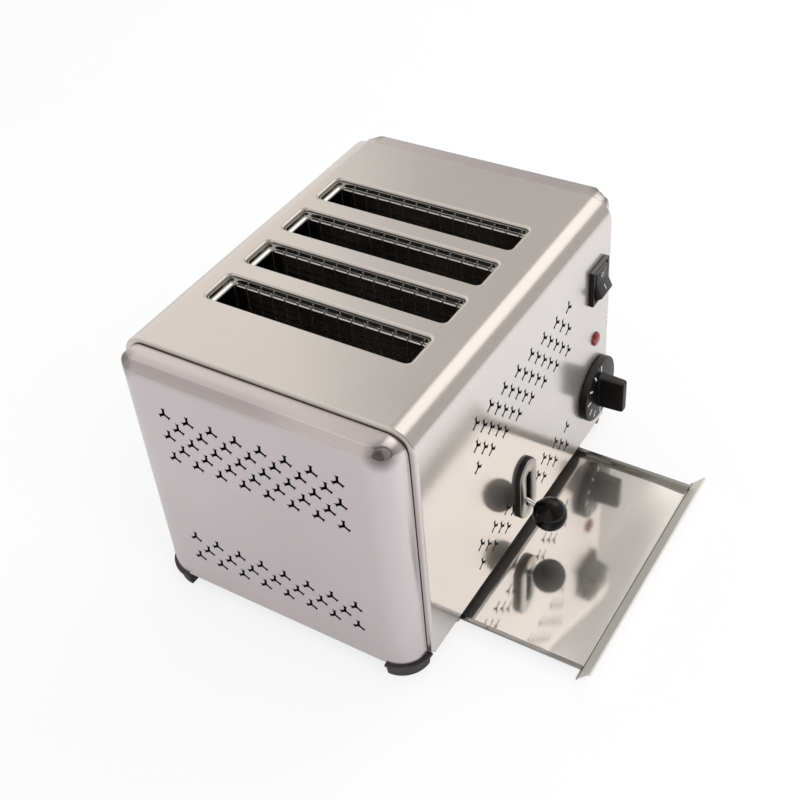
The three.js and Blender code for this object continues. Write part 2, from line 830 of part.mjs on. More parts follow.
// The lever is drawn level and then tilted about its pivot
function makeLever() {
  const half = armThick / 2;
  const hub = rodX(hubRadius, leverX - hubWidth / 2, leverX + hubWidth / 2, 0, 0, fineSides);
  const arm = box(leverX - half, leverX + half, 0, armReach, -armWidth / 2, armWidth / 2);
  const nose = rodX(armWidth / 2, leverX - half, leverX + half, armReach, 0, fineSides);
  const stub = rodX(pinRadius, leverX, spineX + barThick, armReach, 0);
  const end = rodSeat - ballReach;
  const rod = rodY(rodRadius, leverX, end, 0, 0);
  const bore = rodX(pinRadius + fit, leverX - hubWidth, leverX + hubWidth / 2 + fit, 0, 0);
  const lever = add('lever_arm', joined([hub, arm, nose, stub, rod]).subtract(bore), polished);
  const sphere = new THREE.SphereGeometry(ballRadius, fineSides, ballBands);
  sphere.translate(leverX, -ballReach, 0);
  const seat = rodY(rodRadius + fit, leverX, end - fit, 0, 0);
  const ball = add('lever_ball', solid(sphere).subtract(seat), glossBlack);
  [lever, ball].forEach((mesh) => {
    mesh.position.set(0, -pivotFront, pivotHeight);
    mesh.rotation.x = tilt;
  });
  const inside = leverX - hubWidth / 2 - fit;
  const outside = leverX + hubWidth / 2 + fit;
  const from = inside - earThick;
  const to = outside + earThick;
  const frontEdge = -pivotFront - earHalfWidth;
  const backEdge = earHalfWidth - pivotFront;
  const top = pivotHeight + earHalfWidth;
  const block = box(from, to, frontEdge, backEdge, innerFloor, top);
  const slotEnds = [frontEdge - overrun, backEdge + overrun];
  const slot = box(inside, outside, ...slotEnds, innerFloor + plate, top + overrun);
  const eye = rodX(pinRadius + fit, from - overrun, to + overrun, -pivotFront, pivotHeight);
  add('pivot_bracket', block.subtract(slot).subtract(eye), zinc);
  const spare = fit + earThick / 2;
  add('pivot_pin', rodX(pinRadius, from - spare, to + spare, -pivotFront, pivotHeight), polished);
}

function makePlate() {
  const back = -coverHalfDepth - fit;
  const outline = stadium(plateWidth, plateHeight, leverX, pivotHeight);
  const slot = stadium(plateSlotWidth, plateSlotHeight, leverX, pivotHeight);
  const opening = alongY(slot, back - plateRise - overrun, back + overrun, roundSteps);
  add('lever_plate', alongY(outline, back - plateRise, back, roundSteps).subtract(opening), polished);
}

function makeTimer() {
  const back = -coverHalfDepth - knobGap;
  const rim = back - knobSkirt;
  const face = back - knobThick;
  const profile = [[0, face], [knobFace, face], [knobRadius, rim], [knobRadius, back], [0, back]];
  const lathe = new THREE.LatheGeometry(profile.map(([r, y]) => new THREE.Vector2(r, y)), 2 * fineSides);
  lathe.translate(timerX, 0, timerHeight);
  const reach = -coverHalfDepth - gripReach;
  const bar = roundedRect(gripWidth, gripHeight, gripRound, timerX, timerHeight);
  const grip = alongY(bar, reach, face + knobThick / 2);
  let knob = solid(lathe).add(grip);
  for (let k = 0; k < tickCount; k += 1) {
    const mark = new THREE.BoxGeometry(tickWidth, tickDepth * 2, tickOuter - tickInner);
    mark.translate(0, face, (tickOuter + tickInner) / 2);
    mark.rotateY(-THREE.MathUtils.degToRad(k * tickStep));
    mark.translate(timerX, 0, timerHeight);
    knob = knob.subtract(solid(mark));
  }
  const seat = face - shaftSeat;
  knob = knob.subtract(rodY(shaftRadius + fit, timerX, seat - fit, back + overrun, timerHeight));
  add('timer_knob', knob, blackPlastic);
  const boxFront = -wallInside + fit;
  const boxBack = boxFront + timerDepth;
  const half = timerBox / 2;
  const sides = [timerX - half, timerX + half];
  const heights = [timerHeight - half, timerHeight + half];
  const socket = rodY(shaftRadius + fit, timerX, boxFront - overrun, boxFront + timerDepth / 2, timerHeight);
  add('timer_body', box(...sides, boxFront, boxBack, ...heights).subtract(socket), creamPlastic);
  add('timer_shaft', rodY(shaftRadius, timerX, seat, boxFront + timerDepth / 2 - fit, timerHeight), zinc);
}

function makeLamp() {
  const front = -coverHalfDepth - fit;
  const points = [[0, front - lampRise]];
  for (let k = 1; k <= cornerSteps; k += 1) {
    const angle = (k / cornerSteps) * quarter;
    points.push([lampRadius * Math.sin(angle), front - lampRise * Math.cos(angle)]);
  }
  const shankEnd = -wallInside + lampDepth / 2;
  points.push([lampShank, front], [lampShank, shankEnd], [0, shankEnd]);
  const lathe = new THREE.LatheGeometry(points.map(([r, y]) => new THREE.Vector2(r, y)), fineSides);
  lathe.translate(lampX, 0, lampHeight);
  add('lamp_lens', solid(lathe), redLens);
  const from = -wallInside + fit;
  const bore = rodY(lampShank + fit, lampX, from - overrun, shankEnd + fit, lampHeight);
  add('lamp_body', rodY(lampBody, lampX, from, from + lampDepth, lampHeight).subtract(bore), creamPlastic);
}

function makeSwitch() {
  const back = -coverHalfDepth - fit;
  const bezel = roundedRect(bezelWidth, bezelHeight, bezelCorner, switchX, switchHeight);
  const tub = roundedRect(switchBodyWidth, switchBodyHeight, bezelCorner / 2, switchX, switchHeight);
  const opening = roundedRect(rockerWidth + 2 * fit, 2 * rockerEnd, bezelCorner / 2, switchX, switchHeight);
  const hollowHeight = 2 * rockerEnd + 4 * fit;
  const hollow = roundedRect(rockerWidth + 2 * fit, hollowHeight, bezelCorner / 2, switchX, switchHeight);
  const housing = alongY(bezel, bezelFace, back)
    .add(alongY(tub, back - fit, switchBodyDepth - coverHalfDepth))
    .subtract(alongY(opening, bezelFace - overrun, bezelFace + rockerCavity))
    .subtract(alongY(hollow, bezelFace + rockerLip, bezelFace + rockerCavity));
  add('switch_housing', housing, blackPlastic);
  const outline = polygon([
    [-rockerRidgeRise, -rockerRidge],
    [-rockerValleyRise, 0],
    [-rockerRidgeRise, rockerRidge],
    [-rockerEndRise, rockerEnd],
    [rockerHeelDrop, rockerHeel],
    [rockerHeelDrop, -rockerHeel],
    [-rockerEndRise, -rockerEnd],
  ]);
  let rocker = alongX(outline, -rockerWidth / 2, rockerWidth / 2);
  const midRise = (rockerRidgeRise + rockerValleyRise) / 2;
  const lean = Math.atan2(rockerRidgeRise - rockerValleyRise, rockerRidge);
  const ring = new THREE.Shape().absarc(0, 0, markSize, 0, quarter * 4);
  ring.holes.push(new THREE.Path().absarc(0, 0, markSize - markLine, 0, quarter * 4, true));
  const line = polygon([
    [-markLine / 2, -markSize],
    [markLine / 2, -markSize],
    [markLine / 2, markSize],
    [-markLine / 2, markSize],
  ]);
  [[ring, 1], [line, -1]].forEach(([mark, side]) => {
    const geometry = extruded(mark, 2 * markDepth, bendSteps);
    geometry.rotateX(quarter);
    geometry.translate(0, markDepth, 0);
    geometry.rotateX(side * lean);
    geometry.translate(0, -midRise, (side * rockerRidge) / 2);
    rocker = rocker.subtract(solid(geometry));
  });
  const mesh = add('switch_rocker', rocker, blackPlastic);
  mesh.position.set(switchX, bezelFace + rockerPivot, switchHeight);
  mesh.rotation.x = -THREE.MathUtils.degToRad(rockerTilt);
}

function makeTray() {
  const back = trayLength - trayFront;
  const wall = trayHalfWidth - trayRimWidth;
  const front = -trayFront;
  const rim = box(-trayHalfWidth, trayHalfWidth, front, back, trayRim - thinSheet, trayRim);
  const pan = box(-wall, wall, front, back, trayFloor, trayRim);
  const hollow = box(
    thinSheet - wall,
    wall - thinSheet,
    front - overrun,
    back - thinSheet,
    trayFloor + thinSheet,
    trayRim + overrun,
  );
  const lip = alongX(
    polygon([
      [front, trayFloor],
      [front, trayFloor + thinSheet],
      [front - trayLipOut, trayLipTop],
      [front - trayLipOut - thinSheet, trayLipTop],
      [front - thinSheet, trayFloor],
    ]),
    -trayLipHalfWidth,
    trayLipHalfWidth,
  );
  add('crumb_tray', rim.add(pan).subtract(hollow).add(lip), polished);
  const top = shellBottom - fit;
  const web = trayHalfWidth + fit;
  const seat = trayRim - thinSheet - fit;
  const lipIn = trayHalfWidth - railLip;
  const outline = [
    [lipIn, seat - railWeb],
    [web + railWeb, seat - railWeb],
    [web + railWeb, top - railWeb],
    [web + railFlange, top - railWeb],
    [web + railFlange, top],
    [web, top],
    [web, seat],
    [lipIn, seat],
  ];
  const from = railSetback - coverHalfDepth;
  const to = coverHalfDepth - railSetback;
  add('tray_rail_right', alongY(polygon(outline), from, to), zinc);
  add('tray_rail_left', alongY(polygon(outline.map(([x, z]) => [-x, z])), from, to), zinc);
}

function makeGland() {
  const seat = coverHalfDepth + fit;
  const flange = rodY(glandFlange, glandX, seat, seat + glandRise, glandHeight);
  const neck = rodY(glandRadius, glandX, wallInside - glandDepth, coverHalfDepth + 2 * fit, glandHeight);
  const far = coverHalfDepth + glandRise + overrun;
  const bore = rodY(glandBore, glandX, wallInside - glandDepth - overrun, far, glandHeight);
  add('cord_gland', flange.add(neck).subtract(bore), rubber);
}

makeCover();
makeCaps();
makeBase();
makeChassisEnds();
makeShields();
makeSlotFrames();
makeElements();
makeGuards();
makeRacks();
makeCarriage();
makeLever();
makePlate();
makeTimer();
makeLamp();
makeSwitch();
makeTray();
makeGland();

// The origin lies on the floor under the middle of the whole, tray included
const toaster = new THREE.Group();
toaster.add(body);
const bounds = new THREE.Box3().setFromObject(body, true);
const middle = bounds.getCenter(new THREE.Vector3());
body.position.set(-middle.x, -middle.y, -bounds.min.z);

export default toaster;
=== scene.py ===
import math

import bmesh
import bpy
import numpy as np
from mathutils import Matrix, Vector
from mathutils.geometry import delaunay_2d_cdt


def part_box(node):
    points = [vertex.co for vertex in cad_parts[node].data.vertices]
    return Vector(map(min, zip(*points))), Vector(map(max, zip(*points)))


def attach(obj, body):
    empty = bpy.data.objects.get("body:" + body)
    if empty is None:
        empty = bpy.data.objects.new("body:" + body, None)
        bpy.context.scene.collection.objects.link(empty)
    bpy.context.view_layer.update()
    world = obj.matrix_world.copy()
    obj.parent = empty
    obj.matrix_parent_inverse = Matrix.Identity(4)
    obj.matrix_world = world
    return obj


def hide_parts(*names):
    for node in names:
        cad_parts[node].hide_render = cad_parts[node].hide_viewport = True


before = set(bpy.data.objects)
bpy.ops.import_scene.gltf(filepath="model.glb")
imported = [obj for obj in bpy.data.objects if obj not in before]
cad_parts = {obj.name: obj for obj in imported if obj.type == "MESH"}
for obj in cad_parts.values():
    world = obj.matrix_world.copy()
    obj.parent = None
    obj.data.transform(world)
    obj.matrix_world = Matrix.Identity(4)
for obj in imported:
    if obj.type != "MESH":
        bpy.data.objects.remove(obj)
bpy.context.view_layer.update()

# Camera
# It looks down on the front left corner, from about 0.8 m. Angles are turn about +Z, height
# above the horizon and roll; the aim is the middle of the four slots in the top sheet.
mm = 0.001
aim = Vector((0, 50.7, 202))
aim_right, aim_down, distance = 18.885, 88.395, 802.56
turn, height, roll = (math.radians(angle) for angle in (-55.0416, 41.0646, -5.5823))
reach = math.cos(height)
view_back = Vector((math.sin(turn) * reach, -math.cos(turn) * reach, math.sin(height)))
level = Vector((math.cos(turn), math.sin(turn), 0))
upright = view_back.cross(level)
view_right = level * math.cos(roll) + upright * math.sin(roll)
view_up = upright * math.cos(roll) - level * math.sin(roll)
camera = bpy.data.objects.new("camera", bpy.data.cameras.new("camera"))
camera.data.lens = 56.61
camera.data.sensor_width = 36
camera.data.clip_start = 0.05
camera.data.clip_end = 30
place = (aim + view_right * aim_right - view_up * aim_down + view_back * distance) * mm
camera.matrix_world = Matrix((
    (view_right[0], view_up[0], view_back[0], place[0]),
    (view_right[1], view_up[1], view_back[1], place[1]),
    (view_right[2], view_up[2], view_back[2], place[2]),
    (0, 0, 0, 1),
))
bpy.context.scene.collection.objects.link(camera)
bpy.context.scene.camera = camera
bpy.context.scene.view_settings.view_transform = "Standard"


# Studio: room, floor and lamps
# A pale room that is brighter at the back right and darker at the left, with a window above the right, as
# the steel mirrors them;
# a white floor that keeps a soft shadow, and whose glow in reflections has a painted shadow towards the back
# left; two soft lamps.
class Wired:
    """A socket of a shader tree. Sums on it add Math nodes, and node() adds any other node."""

    def __init__(self, tree, socket=None):
        self.tree = tree
        self.socket = socket

    def node(self, kind, settings=None, sockets=None, out=0):
        made = self.tree.nodes.new("ShaderNode" + kind)
        for key, value in (settings or {}).items():
            setattr(made, key, value)
        for key, value in (sockets or {}).items():
            if isinstance(value, Wired):
                self.tree.links.new(value.socket, made.inputs[key])
            else:
                made.inputs[key].default_value = value
        return Wired(self.tree, made.outputs[out] if made.outputs else None)

    def maths(self, operation, *values):
        return self.node("Math", {"operation": operation}, dict(enumerate(values)))

    def __add__(self, other):
        return self.maths("ADD", self, other)

    def __sub__(self, other):
        return self.maths("SUBTRACT", self, other)

    def __rsub__(self, other):
        return self.maths("SUBTRACT", other, self)

    def __mul__(self, other):
        return self.maths("MULTIPLY", self, other)

    def larger(self, other):
        return self.maths("MAXIMUM", self, other)

    def smaller(self, other):
        return self.maths("MINIMUM", self, other)

    def size(self):
        return self.maths("ABSOLUTE", self)

    def between(self, low, high):
        """0 below low, 1 above high, and a soft step between them."""
        sockets = {"Value": self, "From Min": low, "From Max": high}
        return self.node("MapRange", {"interpolation_type": "SMOOTHSTEP"}, sockets)

    def mixed(self, one, other):
        """A colour from one where this value is 0 to other where it is 1."""
        return self.node("Mix", {"data_type": "RGBA"}, {0: self, 6: one, 7: other}, 2)

    def vector(self, operation, other, out="Vector"):
        return self.node("VectorMath", {"operation": operation}, {0: self, 1: other}, out)

    def axis(self, letter):
        """One coordinate of a place or a direction."""
        return self.node("SeparateXYZ", {}, {"Vector": self}, letter)

    def noise(self, scale, detail=2.0, roughness=0.5):
        """Cloudy noise from 0 to 1 at a place, with about scale spots to the metre."""
        sockets = {"Vector": self, "Scale": scale, "Detail": detail, "Roughness": roughness}
        return self.node("TexNoise", {}, sockets, "Fac")

    def raised(self, strength, distance=0.0003):
        """The surface's direction where this value is its height."""
        return self.node("Bump", {}, {"Strength": strength, "Distance": distance, "Height": self})

    def skin(self, look):
        """Ends a material in one plain surface."""
        surface = self.node("BsdfPrincipled", {}, look)
        self.node("OutputMaterial", {}, {"Surface": surface})

    __rmul__ = __mul__
    __radd__ = __add__


def seen(wired):
    """1 for rays from the camera and for those that metal and glass send, 0 for the rest."""
    kinds = ("Is Camera Ray", "Is Glossy Ray", "Is Transmission Ray")
    rays = [wired.node("LightPath", out=kind) for kind in kinds]
    return rays[0].larger(rays[1]).larger(rays[2]), rays[0]


def grey(level):
    return (level, level, level, 1)


room = bpy.data.worlds.new("room")
room.use_nodes = True
room.node_tree.nodes.clear()
room_air = Wired(room.node_tree)
shown, straight = seen(room_air)
way = room_air.node("TexCoord", out="Generated")


def towards(x, y, z):
    """1 for rays in this direction, down to -1 for rays the other way."""
    return way.vector("DOT_PRODUCT", (x, y, z), "Value")


plain_wall, back_gain, left_loss, window_gain, brightest = 0.53, 0.45, 0.26, 1.08, 1.55
matt_light = 0.78
white_light, warm_light = (1, 1, 1, 1), (1, 0.968, 0.918, 1)
back_wall = towards(-0.588, 0.809, -0.314).between(-0.235, -0.11)
left_wall = towards(-1, 0, 0).between(-0.25, 0.35)
window = towards(0.70, -0.13, 0.702).between(0.915, 0.975)
mirrored = plain_wall + back_wall * back_gain - left_wall * left_loss + window * window_gain
mirrored = mirrored.smaller(brightest)
mirrored = mirrored * (1 - straight) + straight
strength = mirrored * shown + matt_light * (1 - shown)
room_tone = (shown * (1 - straight)).mixed(white_light, warm_light)
room_light = room_air.node("Background", {}, {"Color": room_tone, "Strength": strength})
room_air.node("OutputWorld", {}, {"Surface": room_light})
bpy.context.scene.world = room


def finish(name):
    """A new material, the start of its shader tree, and the place on the surface in metres."""
    material = bpy.data.materials.new(name)
    material.use_nodes = True
    material.node_tree.nodes.clear()
    sheet = Wired(material.node_tree)
    return material, sheet, sheet.node("TexCoord", out="Object")


floor_half, floor_drop = 4, 0.0002
floor_finish, paint, floor_here = finish("studio_floor")
floor_seen, floor_straight = seen(paint)
speckle = floor_here.noise(9.0)
matt = paint.node("BsdfDiffuse", {}, {"Color": speckle.mixed(grey(0.93), grey(0.95))})
# Painted shadow: in reflections the floor's glow is darker towards the back left, down to 0.45; to the
# camera it stays white.
ahead = floor_here.vector("DOT_PRODUCT", (0.8, -0.6, 0), "Value")
floor_painted_shadow = ahead.between(-0.13, 0.06).mixed(grey(0.45), grey(1.0))
floor_tone = floor_straight.mixed(floor_painted_shadow, grey(1.0))
glow = paint.node("Emission", {}, {"Color": floor_tone, "Strength": 1.0})
glow_share = floor_seen * 0.3 + floor_straight * 0.48
floor_skin = paint.node("MixShader", {}, {0: glow_share, 1: matt, 2: glow})
paint.node("OutputMaterial", {}, {"Surface": floor_skin})
floor_mesh = bpy.data.meshes.new("studio_floor")
floor_signs = ((-1, -1), (1, -1), (1, 1), (-1, 1))
floor_corners = [(x * floor_half, y * floor_half, -floor_drop) for x, y in floor_signs]
floor_mesh.from_pydata(floor_corners, [], [(0, 1, 2, 3)])
floor_mesh.materials.append(floor_finish)
studio_floor = bpy.data.objects.new("studio_floor", floor_mesh)
bpy.context.scene.collection.objects.link(studio_floor)


def soft_lamp(name, place, size, power):
    lamp = bpy.data.objects.new(name, bpy.data.lights.new(name, "AREA"))
    lamp.data.shape = "DISK"
    lamp.data.size = size
    lamp.data.energy = power
    lamp.location = place
    lamp.rotation_mode = "QUATERNION"
    lamp.rotation_quaternion = (Vector((0, 0, 0.1)) - lamp.location).to_track_quat("-Z", "Y")
    lamp.visible_glossy = False
    bpy.context.scene.collection.objects.link(lamp)


soft_lamp("lamp_front", (-0.5, -1.1, 1.5), 1.0, 9)
soft_lamp("lamp_right", (1.2, -0.2, 1.3), 0.9, 6)


# Cover
# One sheet of brushed stainless steel, 1.2 mm, bent over front, top and back. Slots are
# drawn down, vents punched, the ends folded in as flanges and the bottom edges as hems.
body_middle = 45.5
cover_half_length = 129.5
cover_half_depth = 104.5
cover_top = 202
cover_bottom = 13.3
cover_bend = 16.5
cover_sheet = 1.2
end_roll = 1.6
hem_roll = 1.4
flange_depth = 7
hem_depth = 8
slot_middle = 50.7
slot_places = (-63, -21, 21, 63)
slot_width = 27.5
slot_length = 150
slot_corner = 4
lip_roll = 1.9
lip_depth = 5.5
lip_steps = 6
guard_gap = 0.5
vent_pitch, vent_row = 18, 9.07


def piece(name, shape, material, body="casing", stands_for=(), crease=35.0):
    """A closed mesh, its points in millimetres, with soft shading up to the crease angle."""
    points, faces = shape
    mesh = bpy.data.meshes.new(name)
    places = (np.asarray(points, float) * mm).tolist()
    mesh.from_pydata(places, [], [tuple(int(k) for k in face) for face in faces])
    work = bmesh.new()
    work.from_mesh(mesh)
    bmesh.ops.remove_doubles(work, verts=work.verts, dist=2e-6)
    bmesh.ops.recalc_face_normals(work, faces=work.faces)
    work.to_mesh(mesh)
    work.free()
    mesh.shade_smooth()
    mesh.set_sharp_from_angle(angle=math.radians(crease))
    mesh.materials.append(material)
    made = bpy.data.objects.new(name, mesh)
    bpy.context.scene.collection.objects.link(made)
    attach(made, body)
    if stands_for:
        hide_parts(*stands_for)


def thickened(points, normals, faces, depth):
    """A sheet with its thickness: a second skin at depth under the first, and rims between them."""
    count = len(points)
    both = np.vstack([points, points - np.asarray(normals) * depth])
    edges = {}
    for face in faces:
        for a, b in zip(face, face[1:] + face[:1]):
            edges[(a, b)] = edges.get((a, b), 0) + 1
    rims = [(b, a, a + count, b + count) for a, b in edges if (b, a) not in edges]
    under = [tuple(k + count for k in reversed(face)) for face in faces]
    return both, [*faces, *under, *rims]


def rounded_rect(width, length, corner, across, along, steps=8):
    """An anticlockwise outline with round corners."""
    corner = max(corner, 0.01)
    points = []
    for quarter, (sx, sy) in enumerate(((1, 1), (-1, 1), (-1, -1), (1, -1))):
        for step in range(steps + 1):
            angle = (quarter + step / steps) * math.pi / 2
            points.append((
                across + sx * (width / 2 - corner) + corner * math.cos(angle),
                along + sy * (length / 2 - corner) + corner * math.sin(angle),
            ))
    return points


def stadium(width, length, across, along, steps=14):
    """An anticlockwise outline with half round ends."""
    radius = width / 2
    points = []
    for side in (1, -1):
        for step in range(steps + 1):
            angle = (0 if side == 1 else math.pi) + math.pi * step / steps
            points.append((
                across + radius * math.cos(angle),
                along + side * (length / 2 - radius) + radius * math.sin(angle),
            ))
    return points


def circle(radius, across, along, steps=40):
    angles = [2 * math.pi * step / steps for step in range(steps)]
    return [(across + radius * math.cos(a), along + radius * math.sin(a)) for a in angles]


def vent(across, along):
    """A punched vent: a stem up and two legs down, each with a notched end."""
    arm_end = ((3.1, 0.92), (5.0, 1.6), (4.5, 0.0), (5.0, -1.6), (3.1, -0.92))
    crotch = 1.2
    here = np.array((across, along))
    points = []
    for arm in range(3):
        angle = math.pi / 2 + arm * 2 * math.pi / 3
        ahead = np.array((math.cos(angle), math.sin(angle)))
        aside = np.array((ahead[1], -ahead[0]))
        for out, half in arm_end:
            points.append(tuple(here + out * ahead + half * aside))
        between = angle + math.pi / 3
        points.append(tuple(here + crotch * np.array((math.cos(between), math.sin(between)))))
    return points


def vent_rows(rows, first, covered=lambda across: False):
    """Rows of vents below each other, leaving out those that something covers."""
    vents = []
    for row, count in enumerate(rows):
        for k in range(count):
            across = (k - (count - 1) / 2) * vent_pitch
            if not covered(across):
                vents.append(vent(across, first - row * vent_row))
    return vents


def flat_sheet(outline, holes, lines=()):
    """Triangles that fill an outline round its holes, with extra lines as edges between them."""
    points, edges = [], []

    def loop(ring):
        start = len(points)
        points.extend(Vector(p) for p in ring)
        edges.extend((start + k, start + (k + 1) % len(ring)) for k in range(len(ring)))

    loop(outline)
    for hole in holes:
        loop(hole)
    for line in lines:
        start = len(points)
        points.extend(Vector(p) for p in line)
        edges.extend((start + k, start + k + 1) for k in range(len(line) - 1))
    flat, _, faces, _, _, _ = delaunay_2d_cdt(points, edges, [], 0, 1e-5)
    flat = np.array([tuple(p) for p in flat])
    faces = np.array(faces)
    middles = flat[faces].mean(1)
    keep = inside(middles, outline)
    for hole in holes:
        low, high = np.min(hole, 0), np.max(hole, 0)
        near = np.all((middles > low) & (middles < high), 1)
        near[near] = inside(middles[near], hole)
        keep &= ~near
    return flat, [tuple(int(k) for k in face) for face in faces[keep]]


def inside(points, ring):
    """Whether each point lies within a closed outline."""
    ring = np.asarray(ring)
    crossings = np.zeros(len(points), int)
    for (x0, y0), (x1, y1) in zip(ring, np.roll(ring, -1, 0)):
        if y0 != y1:
            spans = (points[:, 1] >= min(y0, y1)) & (points[:, 1] < max(y0, y1))
            crossings += spans & (points[:, 0] < x0 + (points[:, 1] - y0) * (x1 - x0) / (y1 - y0))
    return crossings % 2 == 1


def numbered(flat):
    """The number of each point of a flat sheet, found by its rounded place."""
    return {(round(u, 3), round(v, 3)): k for k, (u, v) in enumerate(flat)}


top_half = cover_half_depth - cover_bend
bend_length = cover_bend * math.pi / 2
wall_length = cover_top - cover_bend - cover_bottom - hem_roll
hem_length = hem_roll * math.pi / 2
wall_end = top_half + bend_length + wall_length
sheet_end = wall_end + hem_length + hem_depth - hem_roll
roll_start = cover_half_length - end_roll
roll_length = end_roll * math.pi / 2
fold_end = roll_start + roll_length + flange_depth - end_roll


def cover_place(flat):
    """Folds points of the flat blank into the cover, with the outward direction at each."""
    u, v = flat[:, 0], flat[:, 1]
    past = np.abs(v) - top_half
    bent = np.clip(past, 0, bend_length) / cover_bend
    down = np.clip(past - bend_length, 0, wall_length)
    hemmed = np.clip(past - bend_length - wall_length, 0, hem_length) / hem_roll
    under = np.clip(past - bend_length - wall_length - hem_length, 0, None)
    depth = np.minimum(np.abs(v), top_half) + cover_bend * np.sin(bent)
    depth = depth - hem_roll * (1 - np.cos(hemmed)) - under
    up = cover_top - cover_bend * (1 - np.cos(bent)) - down - hem_roll * np.sin(hemmed)
    lean = bent + hemmed
    side = np.where(v < 0, -1.0, 1.0)
    outward = np.stack([np.zeros_like(u), side * np.sin(lean), np.cos(lean)], 1)
    over = np.abs(u) - roll_start
    rolled = np.clip(over, 0, roll_length) / end_roll
    inward = end_roll * (1 - np.cos(rolled)) + np.clip(over - roll_length, 0, None)
    end = np.where(u < 0, -1.0, 1.0)
    across = end * (np.minimum(np.abs(u), roll_start) + end_roll * np.sin(rolled))
    points = np.stack([across, body_middle + side * depth, up], 1) - outward * inward[:, None]
    normals = outward * np.cos(rolled)[:, None]
    normals[:, 0] = end * np.sin(rolled)
    return points, normals


def wall_blank(outline, side):
    """Where an outline on the front, side -1, or the back, side 1, lies on the flat blank."""
    return [(x, side * (top_half + bend_length + (cover_top - cover_bend - z))) for x, z in outline]


def slot_blank(at, grow=0.0):
    """The rim of a slot's drawn lip on the flat blank, or a line that far outside it."""
    width, length = (size + 2 * (lip_roll + grow) for size in (slot_width, slot_length))
    outline = rounded_rect(width, length, slot_corner + lip_roll + grow, at, slot_middle)
    return [(x, y - body_middle) for x, y in outline]


lever_at = (-2.8, 51)
switch_at = (107.1, 151.1)
timer_at = (108, 55)
lamp_at = (107.5, 100.4)
gland_at = (100, 40)
lever_clear = 12
front_holes = [
    *vent_rows((8, 7, 8, 7, 8), cover_top - 43.4),
    *vent_rows((8, 7, 8), 52.6, lambda across: abs(across - lever_at[0]) < lever_clear),
    stadium(6.4, 30, *lever_at),
    circle(4.5, *lamp_at),
    circle(3.3, *timer_at),
    rounded_rect(22, 25.8, 1.2, *switch_at, 3),
]
slot_holes = [slot_blank(at) for at in slot_places]
blank_holes = [wall_blank(hole, -1) for hole in front_holes]
blank_holes += [wall_blank(circle(8.3, *gland_at), 1), *slot_holes]
notch = roll_start - 1
corner_line = [(notch, -sheet_end), (notch, -wall_end + 1), (fold_end, -wall_end + 1)]
right_line = corner_line + [(x, -y) for x, y in reversed(corner_line)]
blank_outline = right_line + [(-x, -y) for x, y in right_line]
blank_outline = blank_outline[-1:] + blank_outline[:-1]
bend_steps, roll_steps, hem_steps = 20, 5, 4
rows = [top_half - 0.8, top_half + bend_length + 0.8, wall_end - 0.6, wall_end + hem_length + 0.4]
rows += [top_half + bend_length * step / bend_steps for step in range(bend_steps + 1)]
rows += [wall_end + hem_length * step / hem_steps for step in range(hem_steps + 1)]
columns = [roll_start - 0.6, roll_start + roll_length + 0.4]
columns += [roll_start + roll_length * step / roll_steps for step in range(roll_steps + 1)]
sides = (-1, 1)
blank_lines = [[(-fold_end, side * row), (fold_end, side * row)] for row in rows for side in sides]
blank_lines += [[(side * x, -sheet_end), (side * x, sheet_end)] for x in columns for side in sides]
for at in slot_places:
    guard = slot_blank(at, guard_gap)
    blank_lines.append(guard + guard[:1])
blank, blank_faces = flat_sheet(blank_outline, blank_holes, blank_lines)
cover_points, cover_normals = cover_place(blank)
blank_numbers = numbered(blank)
lip_levels = [(step / lip_steps * math.pi / 2, 0) for step in range(1, lip_steps + 1)]
lip_levels.append((math.pi / 2, lip_depth - lip_roll))
for hole in slot_holes:
    last = [blank_numbers[(round(u, 3), round(v, 3))] for u, v in hole]
    ring = np.array(hole)
    count = len(ring)
    ahead = np.roll(ring, -1, 0) - np.roll(ring, 1, 0)
    ahead /= np.linalg.norm(ahead, axis=1)[:, None]
    inward = np.stack([-ahead[:, 1], ahead[:, 0]], 1)
    for lean, drop in lip_levels:
        moved = ring + inward * lip_roll * math.sin(lean)
        up = np.full(count, cover_top - lip_roll * (1 - math.cos(lean)) - drop)
        lip_points = np.column_stack([moved[:, 0], moved[:, 1] + body_middle, up])
        lip_normals = np.column_stack([inward * math.sin(lean), np.full(count, math.cos(lean))])
        here = list(range(len(cover_points), len(cover_points) + count))
        cover_points = np.vstack([cover_points, lip_points])
        cover_normals = np.vstack([cover_normals, lip_normals])
        for k in range(count):
            n = (k + 1) % count
            blank_faces.append((last[k], last[n], here[n], here[k]))
        last = here


def srgb(*levels):
    """A colour as it looks, 0 to 255, as the shader's linear colour."""
    shares = [level / 255 for level in levels]
    return (*(s / 12.92 if s <= 0.04045 else ((s + 0.055) / 1.055) ** 2.4 for s in shares), 1)


def toned(tone, share):
    return (*(level * share for level in tone[:3]), 1)


